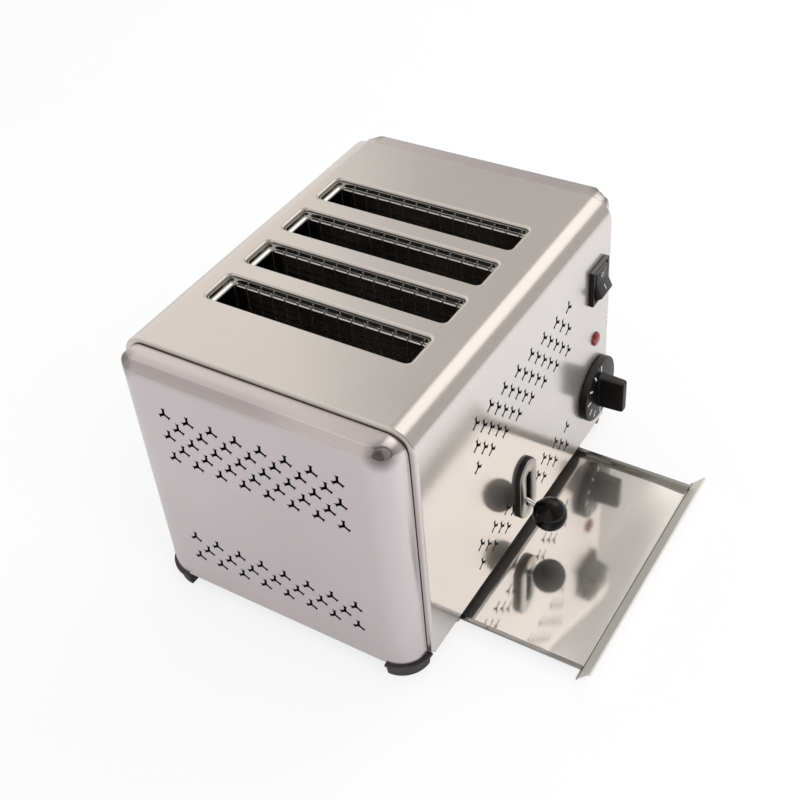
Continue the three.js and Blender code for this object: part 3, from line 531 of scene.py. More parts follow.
def steel(name, tone, rough, grain, cloud=0.04, streak=0.05, bump=0.05, spots=0.0, haze=0.0,
          worn_in=None, darkened=None):
    """Steel sheet: fine grain along one axis, soft clouds of tone, and faint smudges.

    grain is how fine the lines are along x, y and z. haze is the share of a duller surface.
    worn_in gives added roughness, and darkened gives a mask of places painted darker, such as the painted
    shade on the caps.
    """
    material, sheet, here = finish(name)
    lines = sheet.node("Mapping", {}, {"Vector": here, "Scale": grain}).noise(1.0, 4.0, 0.65)
    clouds = here.noise(11.0, 3.0)
    worn = here.noise(38.0, 5.0, 0.7).between(0.56, 0.74)
    shade = 0.5 + (lines - 0.5) * (streak * 10) + (clouds - 0.5) * (cloud * 16)
    colour = shade.mixed(toned(tone, 0.9), toned(tone, 1.06))
    if darkened:
        colour = darkened(here).mixed(colour, toned(tone, 0.22))
    roughness = rough + (lines - 0.5) * streak * 1.6 + (clouds - 0.5) * cloud + worn * spots
    if worn_in:
        roughness = roughness + worn_in(here)
    rise = lines.raised(bump, 0.0004)
    look = {"Base Color": colour, "Metallic": 1.0, "Roughness": roughness, "Normal": rise}
    surface = sheet.node("BsdfPrincipled", {}, look)
    if haze:
        dull = sheet.node("BsdfPrincipled", {}, {**look, "Roughness": roughness + 0.33})
        surface = sheet.node("MixShader", {}, {0: haze, 1: surface, 2: dull})
    sheet.node("OutputMaterial", {}, {"Surface": surface})
    return material


def cover_wear(here):
    """The top and the right of the front are wiped duller than the left of the front."""
    across, up = here.axis("X"), here.axis("Z")
    right_front = across.between(0.02, 0.1) * (1 - up.between(0.16, 0.19))
    return right_front * 0.17 + up.between(0.19, 0.2) * 0.09


cover_finish = steel(
    "brushed_cover", (0.735, 0.695, 0.675, 1), 0.085, (26, 900, 900),
    bump=0.04, spots=0.05, haze=0.3, worn_in=cover_wear,
)
cover_shape = thickened(cover_points, cover_normals, blank_faces, cover_sheet)
piece("cover_sheet", cover_shape, cover_finish, stands_for=["wrap_cover"])


# End caps
# Deep drawn caps of the same steel, with wide round corners, a pressed finger grip along the
# top edge that ends in a dimple at each corner, and punched vents. They are screwed on from inside.
cap_seam = 130.2
cap_end = 148.5
cap_half_depth = 101
cap_top = 199
cap_corner = 21
cap_bend = 14
cap_edge = 2.6
cap_sheet = 1.0
grip_radius = 5.9
grip_at = (150, 200)
dimple_at = (146.5, 95, 200)
dimple_radius = 8
grip_reach = dimple_at[1] - 7.5
dimple_blend, edge_blend = 3.0, 1.1


def past_bend(one, other, one_bend, other_bend):
    """How far a point lies past the start of a bend, seen along the bend."""
    return np.hypot(np.maximum(one - one_bend, 0), np.maximum(other - other_bend, 0))


def cap_depth(p):
    """How far outside the drawn cap a point lies; p holds across, along from the middle, and up."""
    across, along, up = p[..., 0], np.abs(p[..., 1]), p[..., 2]
    plan = past_bend(across, along, cap_end - cap_corner, cap_half_depth - cap_corner) - cap_corner
    wall_at, roof_at = cap_half_depth - cap_bend, cap_top - cap_bend
    arch = past_bend(along, up, wall_at, roof_at) - cap_bend
    arch = np.where((along < wall_at) & (up < roof_at), -cap_bend, arch)
    outer = past_bend(plan, arch, -cap_edge, -cap_edge) - cap_edge
    outer = outer + np.minimum(np.maximum(plan, arch) + cap_edge, 0)
    channel = np.hypot(across - grip_at[0], up - grip_at[1])
    channel = np.hypot(channel, np.maximum(along - grip_reach, 0)) - grip_radius
    spans = ((across - dimple_at[0]) ** 2, (along - dimple_at[1]) ** 2, (up - dimple_at[2]) ** 2)
    dimple = np.sqrt(spans[0] + spans[1] + spans[2]) - dimple_radius
    share = np.clip(0.5 + 0.5 * (dimple - channel) / dimple_blend, 0, 1)
    grip = dimple * (1 - share) + channel * share - dimple_blend * share * (1 - share)
    share = np.clip(0.5 + 0.5 * (outer + grip) / edge_blend, 0, 1)
    return outer * share - grip * (1 - share) + edge_blend * share * (1 - share)


def cap_normal(p):
    """The outward direction at points of the cap, from how its depth changes nearby."""
    step = 0.02
    slopes = []
    for axis in range(3):
        move = np.zeros(3)
        move[axis] = step
        slopes.append(cap_depth(p + move) - cap_depth(p - move))
    slopes = np.stack(slopes, -1)
    return slopes / np.linalg.norm(slopes, axis=-1)[..., None]


# Rays fan out from a spine inside the cap at stations along it, from the end panel to the seam.
# Where they meet the cap they give its skin, with rings closer where it bends.
spine_across, spine_side, spine_top, spine_round = 131.0, 80.0, 182.0, 5.0
corner_steps, fan_steps, travel_steps, ring_count = 56, 240, 90, 54
wall_stations = (cover_bottom, 14.5, 40, 70, 100, 130, 155, 170, 175)
stations = [(-spine_side, z, -1.0, 0.0) for z in wall_stations]
for step in range(corner_steps + 1):
    angle = math.pi / 2 * step / corner_steps
    stations.append((
        -spine_side + spine_round - spine_round * math.cos(angle),
        spine_top - spine_round + spine_round * math.sin(angle),
        -math.cos(angle),
        math.sin(angle),
    ))
roof_stations = np.linspace(-spine_side + spine_round + 1.2, 0, 50)
stations += [(y, spine_top, 0.0, 1.0) for y in roof_stations]
stations += [(-y, z, -out_y, out_z) for y, z, out_y, out_z in reversed(stations[:-1])]
stations = np.array(stations)
count = len(stations)
starts = np.column_stack([np.full(count, spine_across), stations[:, :2]])[:, None, :]
aside = np.column_stack([np.zeros(count), stations[:, 2:]])[:, None, :]
fan = np.linspace(0, math.pi / 2, fan_steps)[None, :, None]
rays = np.cos(fan) * np.array((1.0, 0, 0)) + np.sin(fan) * aside
travel = np.zeros(rays.shape[:2])
for _ in range(travel_steps):
    gap = -cap_depth(starts + rays * travel[..., None])
    travel += np.maximum(gap, 0) * 0.8
skin_points = starts + rays * travel[..., None]
seam_points = skin_points[:, -1:, :].copy()
seam_points[..., 0] = cap_seam
skin_points = np.concatenate([skin_points, seam_points], 1)
spans = np.linalg.norm(np.diff(skin_points, axis=1), axis=2)
facing = cap_normal(skin_points)
bends = np.arccos(np.clip((facing[:, 1:] * facing[:, :-1]).sum(2), -1, 1))
weights = np.cumsum(spans * 0.35 + bends * 3.0 + 0.002, axis=1)
weights = np.concatenate([np.zeros((count, 1)), weights], 1)
cap_rings = np.empty((count, ring_count, 3))
for k, weight in enumerate(weights):
    wanted = np.linspace(0, weight[-1], ring_count)
    for axis in range(3):
        cap_rings[k, :, axis] = np.interp(wanted, weight, skin_points[k, :, axis])
for _ in range(3):
    inner_rings = cap_rings[:, 1:-1]
    off = cap_depth(inner_rings)[..., None]
    cap_rings[:, 1:-1] = inner_rings - cap_normal(inner_rings) * off
cap_facing = cap_normal(cap_rings)
cap_facing[:, 0] = (1, 0, 0)
edge_ring = [(y, z) for _, y, z in cap_rings[:, 0]]
guard_left = [
    (-spine_side + 0.8, cover_bottom), (-spine_side + 0.8, 176), (-spine_side + 5, spine_top - 0.8),
]
guard_ring = guard_left + [(-y, z) for y, z in reversed(guard_left)]
cap_vents = vent_rows((8, 7, 8, 7, 8), cover_top - 35) + vent_rows((8, 7, 8), 58.1)
panel, panel_faces = flat_sheet(edge_ring, cap_vents, [guard_ring])
panel_points = np.column_stack([np.full(len(panel), cap_end), panel])
cap_points = np.vstack([panel_points, cap_rings[:, 1:].reshape(-1, 3)])
cap_normals = np.vstack([np.tile((1.0, 0, 0), (len(panel), 1)), cap_facing[:, 1:].reshape(-1, 3)])
panel_numbers = numbered(panel)
edge = [panel_numbers[(round(y, 3), round(z, 3))] for y, z in edge_ring]


def ring_index(station, ring):
    """The number of a skin point; the first ring is the edge of the flat panel."""
    return edge[station] if ring == 0 else len(panel) + station * (ring_count - 1) + ring - 1


cap_faces = list(panel_faces)
for station in range(count - 1):
    for ring in range(ring_count - 1):
        cap_faces.append((
            ring_index(station, ring), ring_index(station + 1, ring),
            ring_index(station + 1, ring + 1), ring_index(station, ring + 1),
        ))


def cap_painted_shade(here):
    """Painted shade: the dimples are painted darker, and the top band of the left cap is painted darker
    towards the back.
    """
    spread = here.vector("SUBTRACT", (0, body_middle * mm, 0))
    spread = spread.node("VectorMath", {"operation": "ABSOLUTE"}, {0: spread})
    dimple = tuple(length * mm for length in (dimple_at[0], dimple_at[1] - 1, dimple_at[2] - 4))
    dimple_shade_mask = 1 - spread.vector("DISTANCE", dimple, "Value").between(0.004, 0.0155)
    across, along, up = (here.axis(letter) for letter in "XYZ")
    # Painted shade on the left cap's top band, darker towards the back.
    back_top_shade = (1 - across.between(-0.143, -0.135)) * along.between(0.0, 0.045)
    back_top_shade = back_top_shade * up.between(0.188, 0.196)
    return (dimple_shade_mask * 0.85).larger(back_top_shade * 0.26)


cap_finish = steel(
    "brushed_cap", (0.70, 0.64, 0.652, 1), 0.25, (900, 26, 900),
    cloud=0.05, spots=0.04, darkened=cap_painted_shade,
)
cap_points, cap_faces = thickened(cap_points, cap_normals, cap_faces, cap_sheet)
for name, side in (("left", -1), ("right", 1)):
    turned = cap_points * (side, side, 1) + (0, body_middle, 0)
    cap_shape = (turned, cap_faces)
    piece(f"cap_skin_{name}", cap_shape, cap_finish, stands_for=[f"end_cap_{name}"])


# Slot frames
# A frame of thin polished strip stands in each slot. Its ends drop steeply to a rounded shelf,
# which catches the light, and its long sides are lower. The chassis holds it under the top sheet.
polish = steel(
    "polished_strip", (0.70, 0.69, 0.68, 1), 0.1, (30, 700, 700),
    cloud=0.05, streak=0.06, bump=0.05, haze=0.12,
)


def ring_faces(rings, closed):
    """Quads between neighbouring rings of points; closed joins the last ring to the first."""
    faces = []
    count = len(rings[0])
    for level in range(len(rings) if closed else len(rings) - 1):
        a, b = level * count, ((level + 1) % len(rings)) * count
        for k in range(count):
            n = (k + 1) % count
            faces.append((a + k, a + n, b + n, b + k))
    return faces


def banded(rings):
    """A closed band through rings with equal counts, from the last back to the first."""
    return [point for ring in rings for point in ring], ring_faces(rings, True)


def stood(outline, y):
    """A flat outline of x and z, stood up at y."""
    return [(x, y, z) for x, z in outline]


frame_foot = 195
side_height = 0.25
frame_profile = [
    (0.8, 0.35, 199.7), (0.8, 0.5, 199.95), (0.85, 0.85, 199.95), (1.0, 1.0, 199.6),
    (1.0, 1.05, 198.6), (1.0, 1.2, 197.7), (1.0, 1.5, 197.1), (1.0, 2.0, 196.75),
    (1.05, 2.7, 196.6), (1.05, 3.2, 196.4), (1.1, 3.6, 196.0), (1.1, 3.8, 195.4),
    (0.9, 3.5, 195.0), (-1.3, -1.3, 195.0), (-1.3, -1.3, 195.5), (0.8, 0.35, 195.7),
]
for number, at in enumerate(slot_places, 1):
    rings = []
    for aside_by, along_by, z in frame_profile:
        width, length = slot_width - 2 * aside_by, slot_length - 2 * along_by
        ring = []
        for x, y in rounded_rect(width, length, slot_corner - aside_by, at, slot_middle):
            end = min(max((abs(y - slot_middle) - slot_length / 2 + 7) / 3, 0), 1)
            rise = (z - frame_foot) * (side_height + (1 - side_height) * end)
            ring.append((x, y, frame_foot + rise))
        rings.append(ring)
    name = f"slot_frame_{number}"
    piece(f"slot_bead_{number}", banded(rings), polish, stands_for=[name], crease=50)


# Guard wires
# Spot welded grids of round bright wire stand on both sides of a slot, before the elements.
# Their top wires hang on the shields, and the uprights end in short tips above them.
wire_finish = steel("bright_wire", (0.86, 0.85, 0.83, 1), 0.3, (300, 300, 40), cloud=0.05)


def tube(path, radius, sides=10):
    """A round wire along a path, closed at both ends."""
    path = np.asarray(path, float)
    along = np.gradient(path, axis=0)
    along /= np.linalg.norm(along, axis=1)[:, None]
    first = np.cross(along, (0.31, 0.17, 0.93) if abs(along[0][2]) < 0.8 else (0.93, 0.17, 0.31))
    first /= np.linalg.norm(first, axis=1)[:, None]
    second = np.cross(along, first)
    rings = []
    for spot, one, other in zip(path, first, second):
        angles = [2 * math.pi * k / sides for k in range(sides)]
        rings.append([spot + radius * (math.cos(a) * one + math.sin(a) * other) for a in angles])
    points = [point for ring in rings for point in ring]
    faces = ring_faces(rings, False)
    last = len(points) - sides
    faces.append(tuple(range(sides)))
    faces.append(tuple(range(last + sides - 1, last - 1, -1)))
    return np.array(points), faces


def gathered(parts):
    """Several closed shells as the points and faces of one piece."""
    points, faces = [], []
    for part_points, part_faces in parts:
        start = len(points)
        points.extend(np.asarray(part_points).tolist())
        faces.extend(tuple(k + start for k in face) for face in part_faces)
    return points, faces


guard_front, guard_back = -36.5, 132.9
guard_low, guard_high, tip_high = 92.0, 194.3, 197.4
guard_aside, upright_inset, upright_pitch = 12.2, 0.95, 10
wire_radius, upright_radius = 0.62, 0.5
for number, at in enumerate(slot_places, 1):
    for name, side in (("left", -1), ("right", 1)):
        x = at + side * guard_aside
        top_path = [(x, -33.3 + 0.6, guard_high), (x, 50, guard_high), (x, 131.5, guard_high)]
        low_path = [(x, guard_front, guard_low), (x, guard_back, guard_low)]
        wires = [tube(top_path, wire_radius), tube(low_path, wire_radius)]
        for upright_at in range(-27, 133, upright_pitch):
            tip = tip_high if abs(upright_at + 0.5 - slot_middle) < 70 else guard_high
            place = (x - side * upright_inset, upright_at - 0.5)
            wires.append(tube([(*place, guard_low - 0.6), (*place, tip)], upright_radius, 8))
        guard = f"guard_{number}_{name}"
        shape = gathered(wires)
        piece(f"guard_grid_{number}_{name}", shape, wire_finish, stands_for=[guard])


# Racks
# A ladder of round wire in each slot, two rails and twelve rungs, is welded to the carriage
# that the lever raises and lowers.
rack_up, rail_aside, rung_pitch = 144, 6, 15.7
for number, at in enumerate(slot_places, 1):
    wires = []
    for off in (-rail_aside, rail_aside):
        wires.append(tube([(at + off, -39.6, rack_up), (at + off, 137.2, rack_up)], 1.2))
    for k in range(12):
        y = -37.5 + k * rung_pitch
        wires.append(tube([(at - rail_aside, y, rack_up), (at + rail_aside, y, rack_up)], 1.0))
    rack = [f"bread_rack_{number}"]
    piece(f"bread_ladder_{number}", gathered(wires), wire_finish, "carriage", rack)


# Crumb tray
# A shallow pan of bright sheet that slides in two rails under the base. Its side rims are folded
# out, its floor is pressed in a very shallow trough, and its front is turned up as a lip.
tray_front, tray_back = -143.3, 40.7
pan_half = 88.0
rim_half = 91.5
lip_half = 97.0
tray_sheet = 0.6
pan_floor = 3.0
trough_drop, trough_rise, trough_ease = 0.7, 1.3, 30.0
hook_low, rim_top = 6.4, 7.5


def swept(profile, axis, low, high):
    """A profile of (a, b) points run along an axis, closed at both ends."""
    count = len(profile)
    points = []
    for end in (low, high):
        for a, b in profile:
            points.append((end, a, b) if axis == "x" else (a, end, b))
    faces = [(k, (k + 1) % count, count + (k + 1) % count, count + k) for k in range(count)]
    faces.append(tuple(range(count - 1, -1, -1)))
    faces.append(tuple(range(count, 2 * count)))
    return points, faces


def folded(line, depth):
    """A bent sheet's closed outline, from the line of its upper face."""
    line = np.asarray(line, float)
    along = np.gradient(line, axis=0)
    along /= np.linalg.norm(along, axis=1)[:, None]
    under = np.stack([along[:, 1], -along[:, 0]], 1)
    return [tuple(p) for p in line] + [tuple(p) for p in (line + under * depth)[::-1]]


def rounded_line(corners, radius, steps=6):
    """A line through corners, each rounded off with an arc of about the radius."""
    corners = [np.asarray(c, float) for c in corners]
    points = [corners[0]]
    for before, corner, after in zip(corners, corners[1:], corners[2:]):
        one, other = before - corner, after - corner
        cut = min(radius, 0.45 * np.linalg.norm(one), 0.45 * np.linalg.norm(other))
        start = corner + one / np.linalg.norm(one) * cut
        end = corner + other / np.linalg.norm(other) * cut
        for step in range(steps + 1):
            t = step / steps
            points.append(start * (1 - t) ** 2 + corner * 2 * t * (1 - t) + end * t * t)
    points.append(corners[-1])
    return points


def capped(rings):
    """A closed skin through rings with equal counts, and flat across the first and the last."""
    points = [point for ring in rings for point in ring]
    faces = ring_faces(rings, False)
    count = len(rings[0])
    faces.append(tuple(range(count - 1, -1, -1)))
    faces.append(tuple(range(len(points) - count, len(points))))
    return points, faces


def pan_height(x, y):
    """The height of the floor's trough, which runs out at the lip and the back."""
    share = min((y - tray_front) / trough_ease, (tray_back - y) / trough_ease, 1)
    share = share * share * (3 - 2 * share)
    return pan_floor + share * (trough_rise * (x / pan_half) ** 2 - trough_drop)


pan_front = np.linspace(tray_front, tray_front + trough_ease, 22)
pan_rings = []
for y in [*pan_front, *np.linspace(-98, -4, 30), *np.linspace(-1.3, tray_back, 20)]:
    side_line = rounded_line([
        (-rim_half, hook_low), (-rim_half, rim_top), (-pan_half, rim_top),
        (-pan_half, pan_height(pan_half, y)), (-pan_half + 4, pan_height(pan_half - 4, y)),
    ], 0.7)
    floor_line = [(x, pan_height(x, y)) for x in np.linspace(-80, 80, 41)]
    pan_line = [*side_line, *floor_line, *((-x, z) for x, z in reversed(side_line))]
    pan_rings.append(stood(folded(pan_line, tray_sheet), y))
back_line = [(tray_back - 0.9, 2.4), (tray_back, 2.4), (tray_back, rim_top), (tray_back - 0.9, rim_top)]
back_wall_part = swept(back_line, "x", -pan_half + 0.3, pan_half - 0.3)


def darker_rims(here):
    """The side walls and folded rims are made darker on both sides."""
    return here.axis("X").size().between(0.0866, 0.0876) * 0.72


tray_finish = steel(
    "bright_tray", (0.88, 0.855, 0.83, 1), 0.07, (40, 420, 420),
    cloud=0.03, streak=0.03, bump=0.02, spots=0.05, haze=0.22, darkened=darker_rims,
)
tray_shape = gathered([capped(pan_rings), back_wall_part])
piece("tray_pan", tray_shape, tray_finish, "tray", ["crumb_tray"])

lip_line = rounded_line([
    (tray_front - 8.0, 11.6), (tray_front - 9.0, 12.9), (tray_front - 8.5, 13.0),
    (tray_front, pan_floor), (tray_front + 1, pan_floor - 0.1),
], 0.5)
lip_shape = swept(folded(lip_line[::-1], tray_sheet), "x", -lip_half, lip_half)
lip_finish, lip_sheet, lip_here = finish("tray_lip")
lip_grain = lip_sheet.node("Mapping", {}, {"Vector": lip_here, "Scale": (30, 600, 600)}).noise(5.0, 3.0)
# Painted shade: a thin dark, rougher line along the crease where the lip meets the pan's front edge.
lip_crease_shade = 1 - (lip_here.axis("Y") - tray_front * mm).size().between(0.0002, 0.0006)
lip_tone = lip_grain.mixed((0.80, 0.79, 0.75, 1), (0.88, 0.87, 0.82, 1))
lip_sheet.skin({
    "Base Color": lip_crease_shade.mixed(lip_tone, (0.05, 0.045, 0.04, 1)),
    "Metallic": 0.5,
    "Roughness": 0.58 + lip_grain * 0.1 + lip_crease_shade * 0.2,
})
piece("tray_lip", lip_shape, lip_finish, "tray")


# Feet
# Four moulded black rubber feet, each a quarter round that follows the corner of the cap,
# with a rim under the shell. A screw holds each one to the base plate.
foot_middle = (127.5, 80)
rubber_finish, rubber, rubber_here = finish("foot_rubber")
rubber_grain = rubber_here.noise(900.0, 3.0)
rubber_dust = rubber_here.noise(70.0, 4.0).between(0.4, 0.8)
rubber.skin({
    "Base Color": rubber_dust.mixed(srgb(46, 41, 42), srgb(74, 67, 68)),
    "Roughness": 0.5 + rubber_grain * 0.2,
    "Normal": rubber_grain.raised(0.25),
})
foot_levels = [
    (0.0, 18.9), (0.3, 19.6), (0.9, 19.95), (10.2, 21.4), (10.7, 21.6), (10.75, 22.6),
    (11.0, 22.95), (12.6, 23.0), (12.9, 22.8), (13.0, 22.3), (13.0, 16.0), (14.4, 16.0),
]


def quarter_ring(radius, z, sx, sy, steps=24):
    """A quarter round about a foot's inner corner, eased at the two ends of its arc."""
    centre_x, centre_y = sx * foot_middle[0], body_middle + sy * foot_middle[1]
    ring = [(0.0, 0.0)]
    start = math.asin(0.8 / radius) * 0.5
    for step in range(steps + 1):
        angle = start + (math.pi / 2 - 2 * start) * step / steps
        ring.append((radius * math.cos(angle), radius * math.sin(angle)))
    return [(centre_x + sx * a, centre_y + sy * b, z) for a, b in ring]


for along, sy in (("front", -1), ("back", 1)):
    for side, sx in (("left", -1), ("right", 1)):
        foot = capped([quarter_ring(radius, z, sx, sy) for z, radius in foot_levels])
        name = f"{along}_{side}"
        piece(f"foot_pad_{name}", foot, rubber_finish, stands_for=[f"foot_{name}"])


# Lever: rod, arm, ball and plate
# A bright rod carries a glossy black ball. Inside it is welded to a hub and a flat arm on a
# pivot, whose pin lifts the rack carriage. A bright face plate on a black moulded body frames its slot.
lever_pivot = (lever_at[0], -27.3, lever_at[1])
lever_tilt = math.radians(18.6)
lever_polish = steel("polished_rod", (0.74, 0.73, 0.72, 1), 0.09, (500, 60, 500), streak=0.04, bump=0.03)


def tipped(shape, angle, pivot):
    """A shape drawn level about the origin, turned about the x axis and set at its pivot."""
    points, faces = shape
    x, y, z = np.asarray(points, float).T
    cosine, sine = math.cos(angle), math.sin(angle)
    return np.stack([x, y * cosine - z * sine, y * sine + z * cosine], 1) + pivot, faces


def lathe(profile, axis_point, axis="y", steps=48):
    """A turned shape: the profile gives radius and place along the axis, from end to end."""
    rings = []
    for radius, along in profile:
        ring = []
        for a, b in circle(max(radius, 0.001), 0, 0, steps):
            offset = {"x": (along, a, b), "y": (a, along, b)}[axis]
            ring.append(tuple(np.add(axis_point, offset)))
        rings.append(ring)
    return capped(rings)


arm_reach, ball_reach, ball_radius = 94.06, 54.02, 11.9
arm_width = 10
hub = lathe([(2.9, -4), (5.6, -4), (6, -3.6), (6, 3.6), (5.6, 4), (2.9, 4)], (0, 0, 0), "x")
arm_rings = []
for x, inset in ((-1.5, 0.3), (-1.2, 0.0), (1.2, 0.0), (1.5, 0.3)):
    width, length = arm_width - 2 * inset, arm_reach + 5 - 2 * inset
    ring = stadium(width, length, 0, arm_reach / 2 + 2.5, 12)
    arm_rings.append([(x, b, a) for a, b in ring])
stub = lathe([(2.3, 0), (2.5, 0.2), (2.5, 12.9), (2.2, 13.2)], (0, arm_reach, 0), "x", 24)
rod = lathe([(1.9, 4 - ball_reach), (1.9, -8), (2.6, -6.5), (2.6, -2.9)], (0, 0, 0), "y", 28)
lever = tipped(gathered([hub, capped(arm_rings), stub, rod]), lever_tilt, lever_pivot)
piece("lever_rod", lever, lever_polish, "lever", ["lever_arm"])

gloss_finish, gloss, gloss_here = finish("gloss_black")
gloss_dust = gloss_here.noise(260.0, 5.0).between(0.55, 0.8)
gloss.skin({
    "Base Color": gloss_dust.mixed(srgb(9, 8, 7), srgb(20, 18, 16)),
    "Roughness": 0.04 + gloss_dust * 0.05,
    "Specular IOR Level": 0.3,
    "Normal": gloss_here.noise(60.0).raised(0.05, 0.0004),
})
ball_profile = [(0.0, -ball_radius)]
for step in range(1, 37):
    angle = math.pi * step / 40
    ball_profile.append((ball_radius * math.sin(angle), -ball_radius * math.cos(angle)))
ball_profile += [(3.3, 11.5), (3.1, 11.9), (2.2, 12.1)]
ball = tipped(lathe(ball_profile, (0, -ball_reach, 0), "y", 72), lever_tilt, lever_pivot)
piece("lever_knob_ball", ball, gloss_finish, "lever", ["lever_ball"], 50)

plate_levels = [
    (24, 51, -59.3), (24, 51, -61.2), (23.8, 50.8, -61.7), (23.3, 50.3, -61.9), (22.8, 49.8, -61.95),
    (7.6, 31.2, -61.95), (6.8, 30.4, -61.8), (6.4, 30, -61.4), (6.4, 30, -59.3),
]
face_levels = [
    (23.2, 50.2, -61.7), (23.2, 50.2, -62.1), (22.9, 49.9, -62.4), (22.3, 49.3, -62.5),
    (7.6, 31.2, -62.5), (7.1, 30.7, -62.35), (7, 30.6, -62.1), (7, 30.6, -61.7),
]
plate_black, plate_mould, plate_here = finish("plate_black")
plate_grain = plate_here.noise(700.0, 3.0)
plate_mould.skin({
    "Base Color": plate_grain.mixed(srgb(12, 11, 11), srgb(26, 24, 23)),
    "Roughness": 0.26 + plate_grain * 0.16,
    "Specular IOR Level": 0.3,
    "Normal": plate_grain.raised(0.15),
})
plate_finish = steel(
    "polished_plate", (0.43, 0.42, 0.405, 1), 0.3, (500, 500, 60), cloud=0.06, bump=0.04, spots=0.06,
)
plate, face_plate = (
    banded([stood(stadium(width, length, *lever_at, 20), y) for width, length, y in levels])
    for levels in (plate_levels, face_levels)
)
piece("lever_escutcheon", plate, plate_black, stands_for=["lever_plate"])
piece("lever_face_plate", face_plate, plate_finish)


# Timer knob
# A moulded black knob: a round straight-sided skirt with a bar to grip, and raised white marks
# every thirty degrees on its face. It pushes onto the flat of the timer's shaft.
def plastic(name, dark, light, rough, shine=0.5, dust_and_top_light_share=0.5):
    """Moulded plastic with a fine spark eroded grain, slight wear, and a lighter grey where it faces up,
    partly dust and partly painted light from above.
    """
    material, mould, here = finish(name)
    grain = here.noise(700.0, 3.0)
    wear = here.noise(55.0, 4.0).between(0.42, 0.8)
    # Faces that look up are lighter: partly dust, partly painted light from above.
    facing_up = mould.node("NewGeometry", out="Normal").axis("Z")
    dust_and_top_light = facing_up.between(0.25, 0.95) * (0.3 + grain * 0.4) * (dust_and_top_light_share * 2)
    mould.skin({
        "Base Color": dust_and_top_light.mixed(wear.mixed(dark, light), srgb(150, 146, 143)),
        "Roughness": rough + grain * 0.16 - wear * 0.05,
        "Specular IOR Level": shine,
        "Normal": grain.raised(0.2),
    })
    return material


knob_finish = plastic("moulded_black", srgb(9, 8, 8), srgb(17, 16, 16), 0.3, 0.2, 0.12)
mark_finish = plastic("mark_white", srgb(222, 220, 214), srgb(240, 238, 233), 0.4)
knob_x, knob_z = timer_at
skirt_profile = [
    (3.3, -59.6), (24.3, -59.6), (24.8, -59.8), (25, -60.4), (25, -63.4), (24.8, -64),
    (24.2, -64.4), (23.2, -64.6), (0, -64.6),
]
skirt = lathe(skirt_profile, (knob_x, 0, knob_z), "y", 96)
grip_width, grip_length = 8.5, 28
grip_levels = [
    (-62.4, 1.6, 2.6), (-64.2, 1.3, 2.6), (-64.9, 0.5, 2.5), (-66.0, 0.1, 2.4), (-68.0, 0.0, 2.4),
    (-80.9, -0.9, 2.2), (-82.2, -1.2, 2.1), (-83.0, -1.9, 1.9), (-83.4, -2.8, 1.5), (-83.5, -3.9, 1.1),
]
grip_rings = []
for y, grow, corner in grip_levels:
    ring = rounded_rect(grip_width + grow, grip_length + grow, corner, knob_x, knob_z, 6)
    grip_rings.append(stood(ring, y))
knob = gathered([skirt, capped(grip_rings)])
piece("timer_grip_knob", knob, knob_finish, "knob", ["timer_knob"], 30)
mark_inner, mark_outer, mark_half = 16.4, 21.6, 0.7
marks = []
for k in range(9):
    angle = math.radians(30 * k)
    ahead = np.array((-math.sin(angle), math.cos(angle)))
    aside = np.array((ahead[1], -ahead[0]))
    rings = []
    for y, grow in ((-64.3, 0.0), (-64.75, 0.0), (-64.85, -0.15)):
        inner, outer, half = mark_inner - grow, mark_outer + grow, mark_half + grow
        corners = ((inner, -half), (outer, -half), (outer, half), (inner, half))
        spots = [np.array((knob_x, knob_z)) + out * ahead + side * aside for out, side in corners]
        rings.append(stood(spots, y))
    marks.append(capped(rings))
piece("timer_marks", gathered(marks), mark_finish, "knob")


# Pilot lamp
# A small domed lens of glossy red plastic. It is pushed through the front, with a thin rim on
# the sheet.
lens_finish, lens, lens_here = finish("red_lens")
lens_ribs = lens_here.noise(420.0)
lens.skin({
    "Base Color": lens_ribs.mixed(srgb(98, 6, 14), srgb(148, 24, 34)),
    "Roughness": 0.08 + lens_ribs * 0.08,
    "Coat Weight": 1.0,
    "Emission Color": srgb(170, 24, 32),
    "Emission Strength": 0.03,
})
lens_radius, lens_dome, lens_steps, rim_front = 5.1, 2.5, 14, -59.8
lens_profile = [(4.2, -50.2), (4.2, -59.3), (5.0, -59.3), (5.3, -59.5), (5.3, rim_front)]
for step in range(1, lens_steps + 1):
    angle = math.pi / 2 * step / lens_steps
    radius = lens_radius * math.cos(angle) if step < lens_steps else 0.0
    lens_profile.append((radius, rim_front - lens_dome * math.sin(angle)))
lens_shape = lathe(lens_profile, (lamp_at[0], 0, lamp_at[1]))
piece("pilot_lens", lens_shape, lens_finish, stands_for=["lamp_lens"])


# Main switch
# A black rocker in a rectangular bezel that snaps into the front. The rocker is marked with a
# ring above and a line below, both raised in white.
switch_x, switch_z = switch_at
bezel_levels = [
    (25.0, 28.4, 1.2, -59.3), (25.0, 28.4, 1.2, -61.6), (24.6, 28.0, 1.1, -62.1), (23.8, 27.2, 0.9, -62.3),
    (19.2, 25.9, 0.7, -62.3), (18.4, 25.2, 0.6, -62.1), (18.0, 24.8, 0.5, -61.6), (18.0, 24.8, 0.5, -50.4),
    (21.4, 25.2, 0.6, -50.4), (21.4, 25.2, 0.6, -59.0),
]
bezel_rings = []
for width, length, corner, y in bezel_levels:
    bezel_rings.append(stood(rounded_rect(width, length, corner, *switch_at, 5), y))
switch_block = [(-50.6, 138.2), (-50.6, 164.0), (-43.0, 164.0), (-43.0, 138.2)]
bezel_back = swept(switch_block, "x", switch_x - 10.7, switch_x + 10.7)
bezel = gathered([banded(bezel_rings), bezel_back])
bezel_finish = plastic("switch_black", srgb(9, 8, 8), srgb(17, 16, 16), 0.3, 0.2, 0.45)
rocker_finish = plastic("rocker_black", srgb(23, 21, 21), srgb(36, 33, 33), 0.3, 0.35)
piece("switch_bezel", bezel, bezel_finish, stands_for=["switch_housing"])

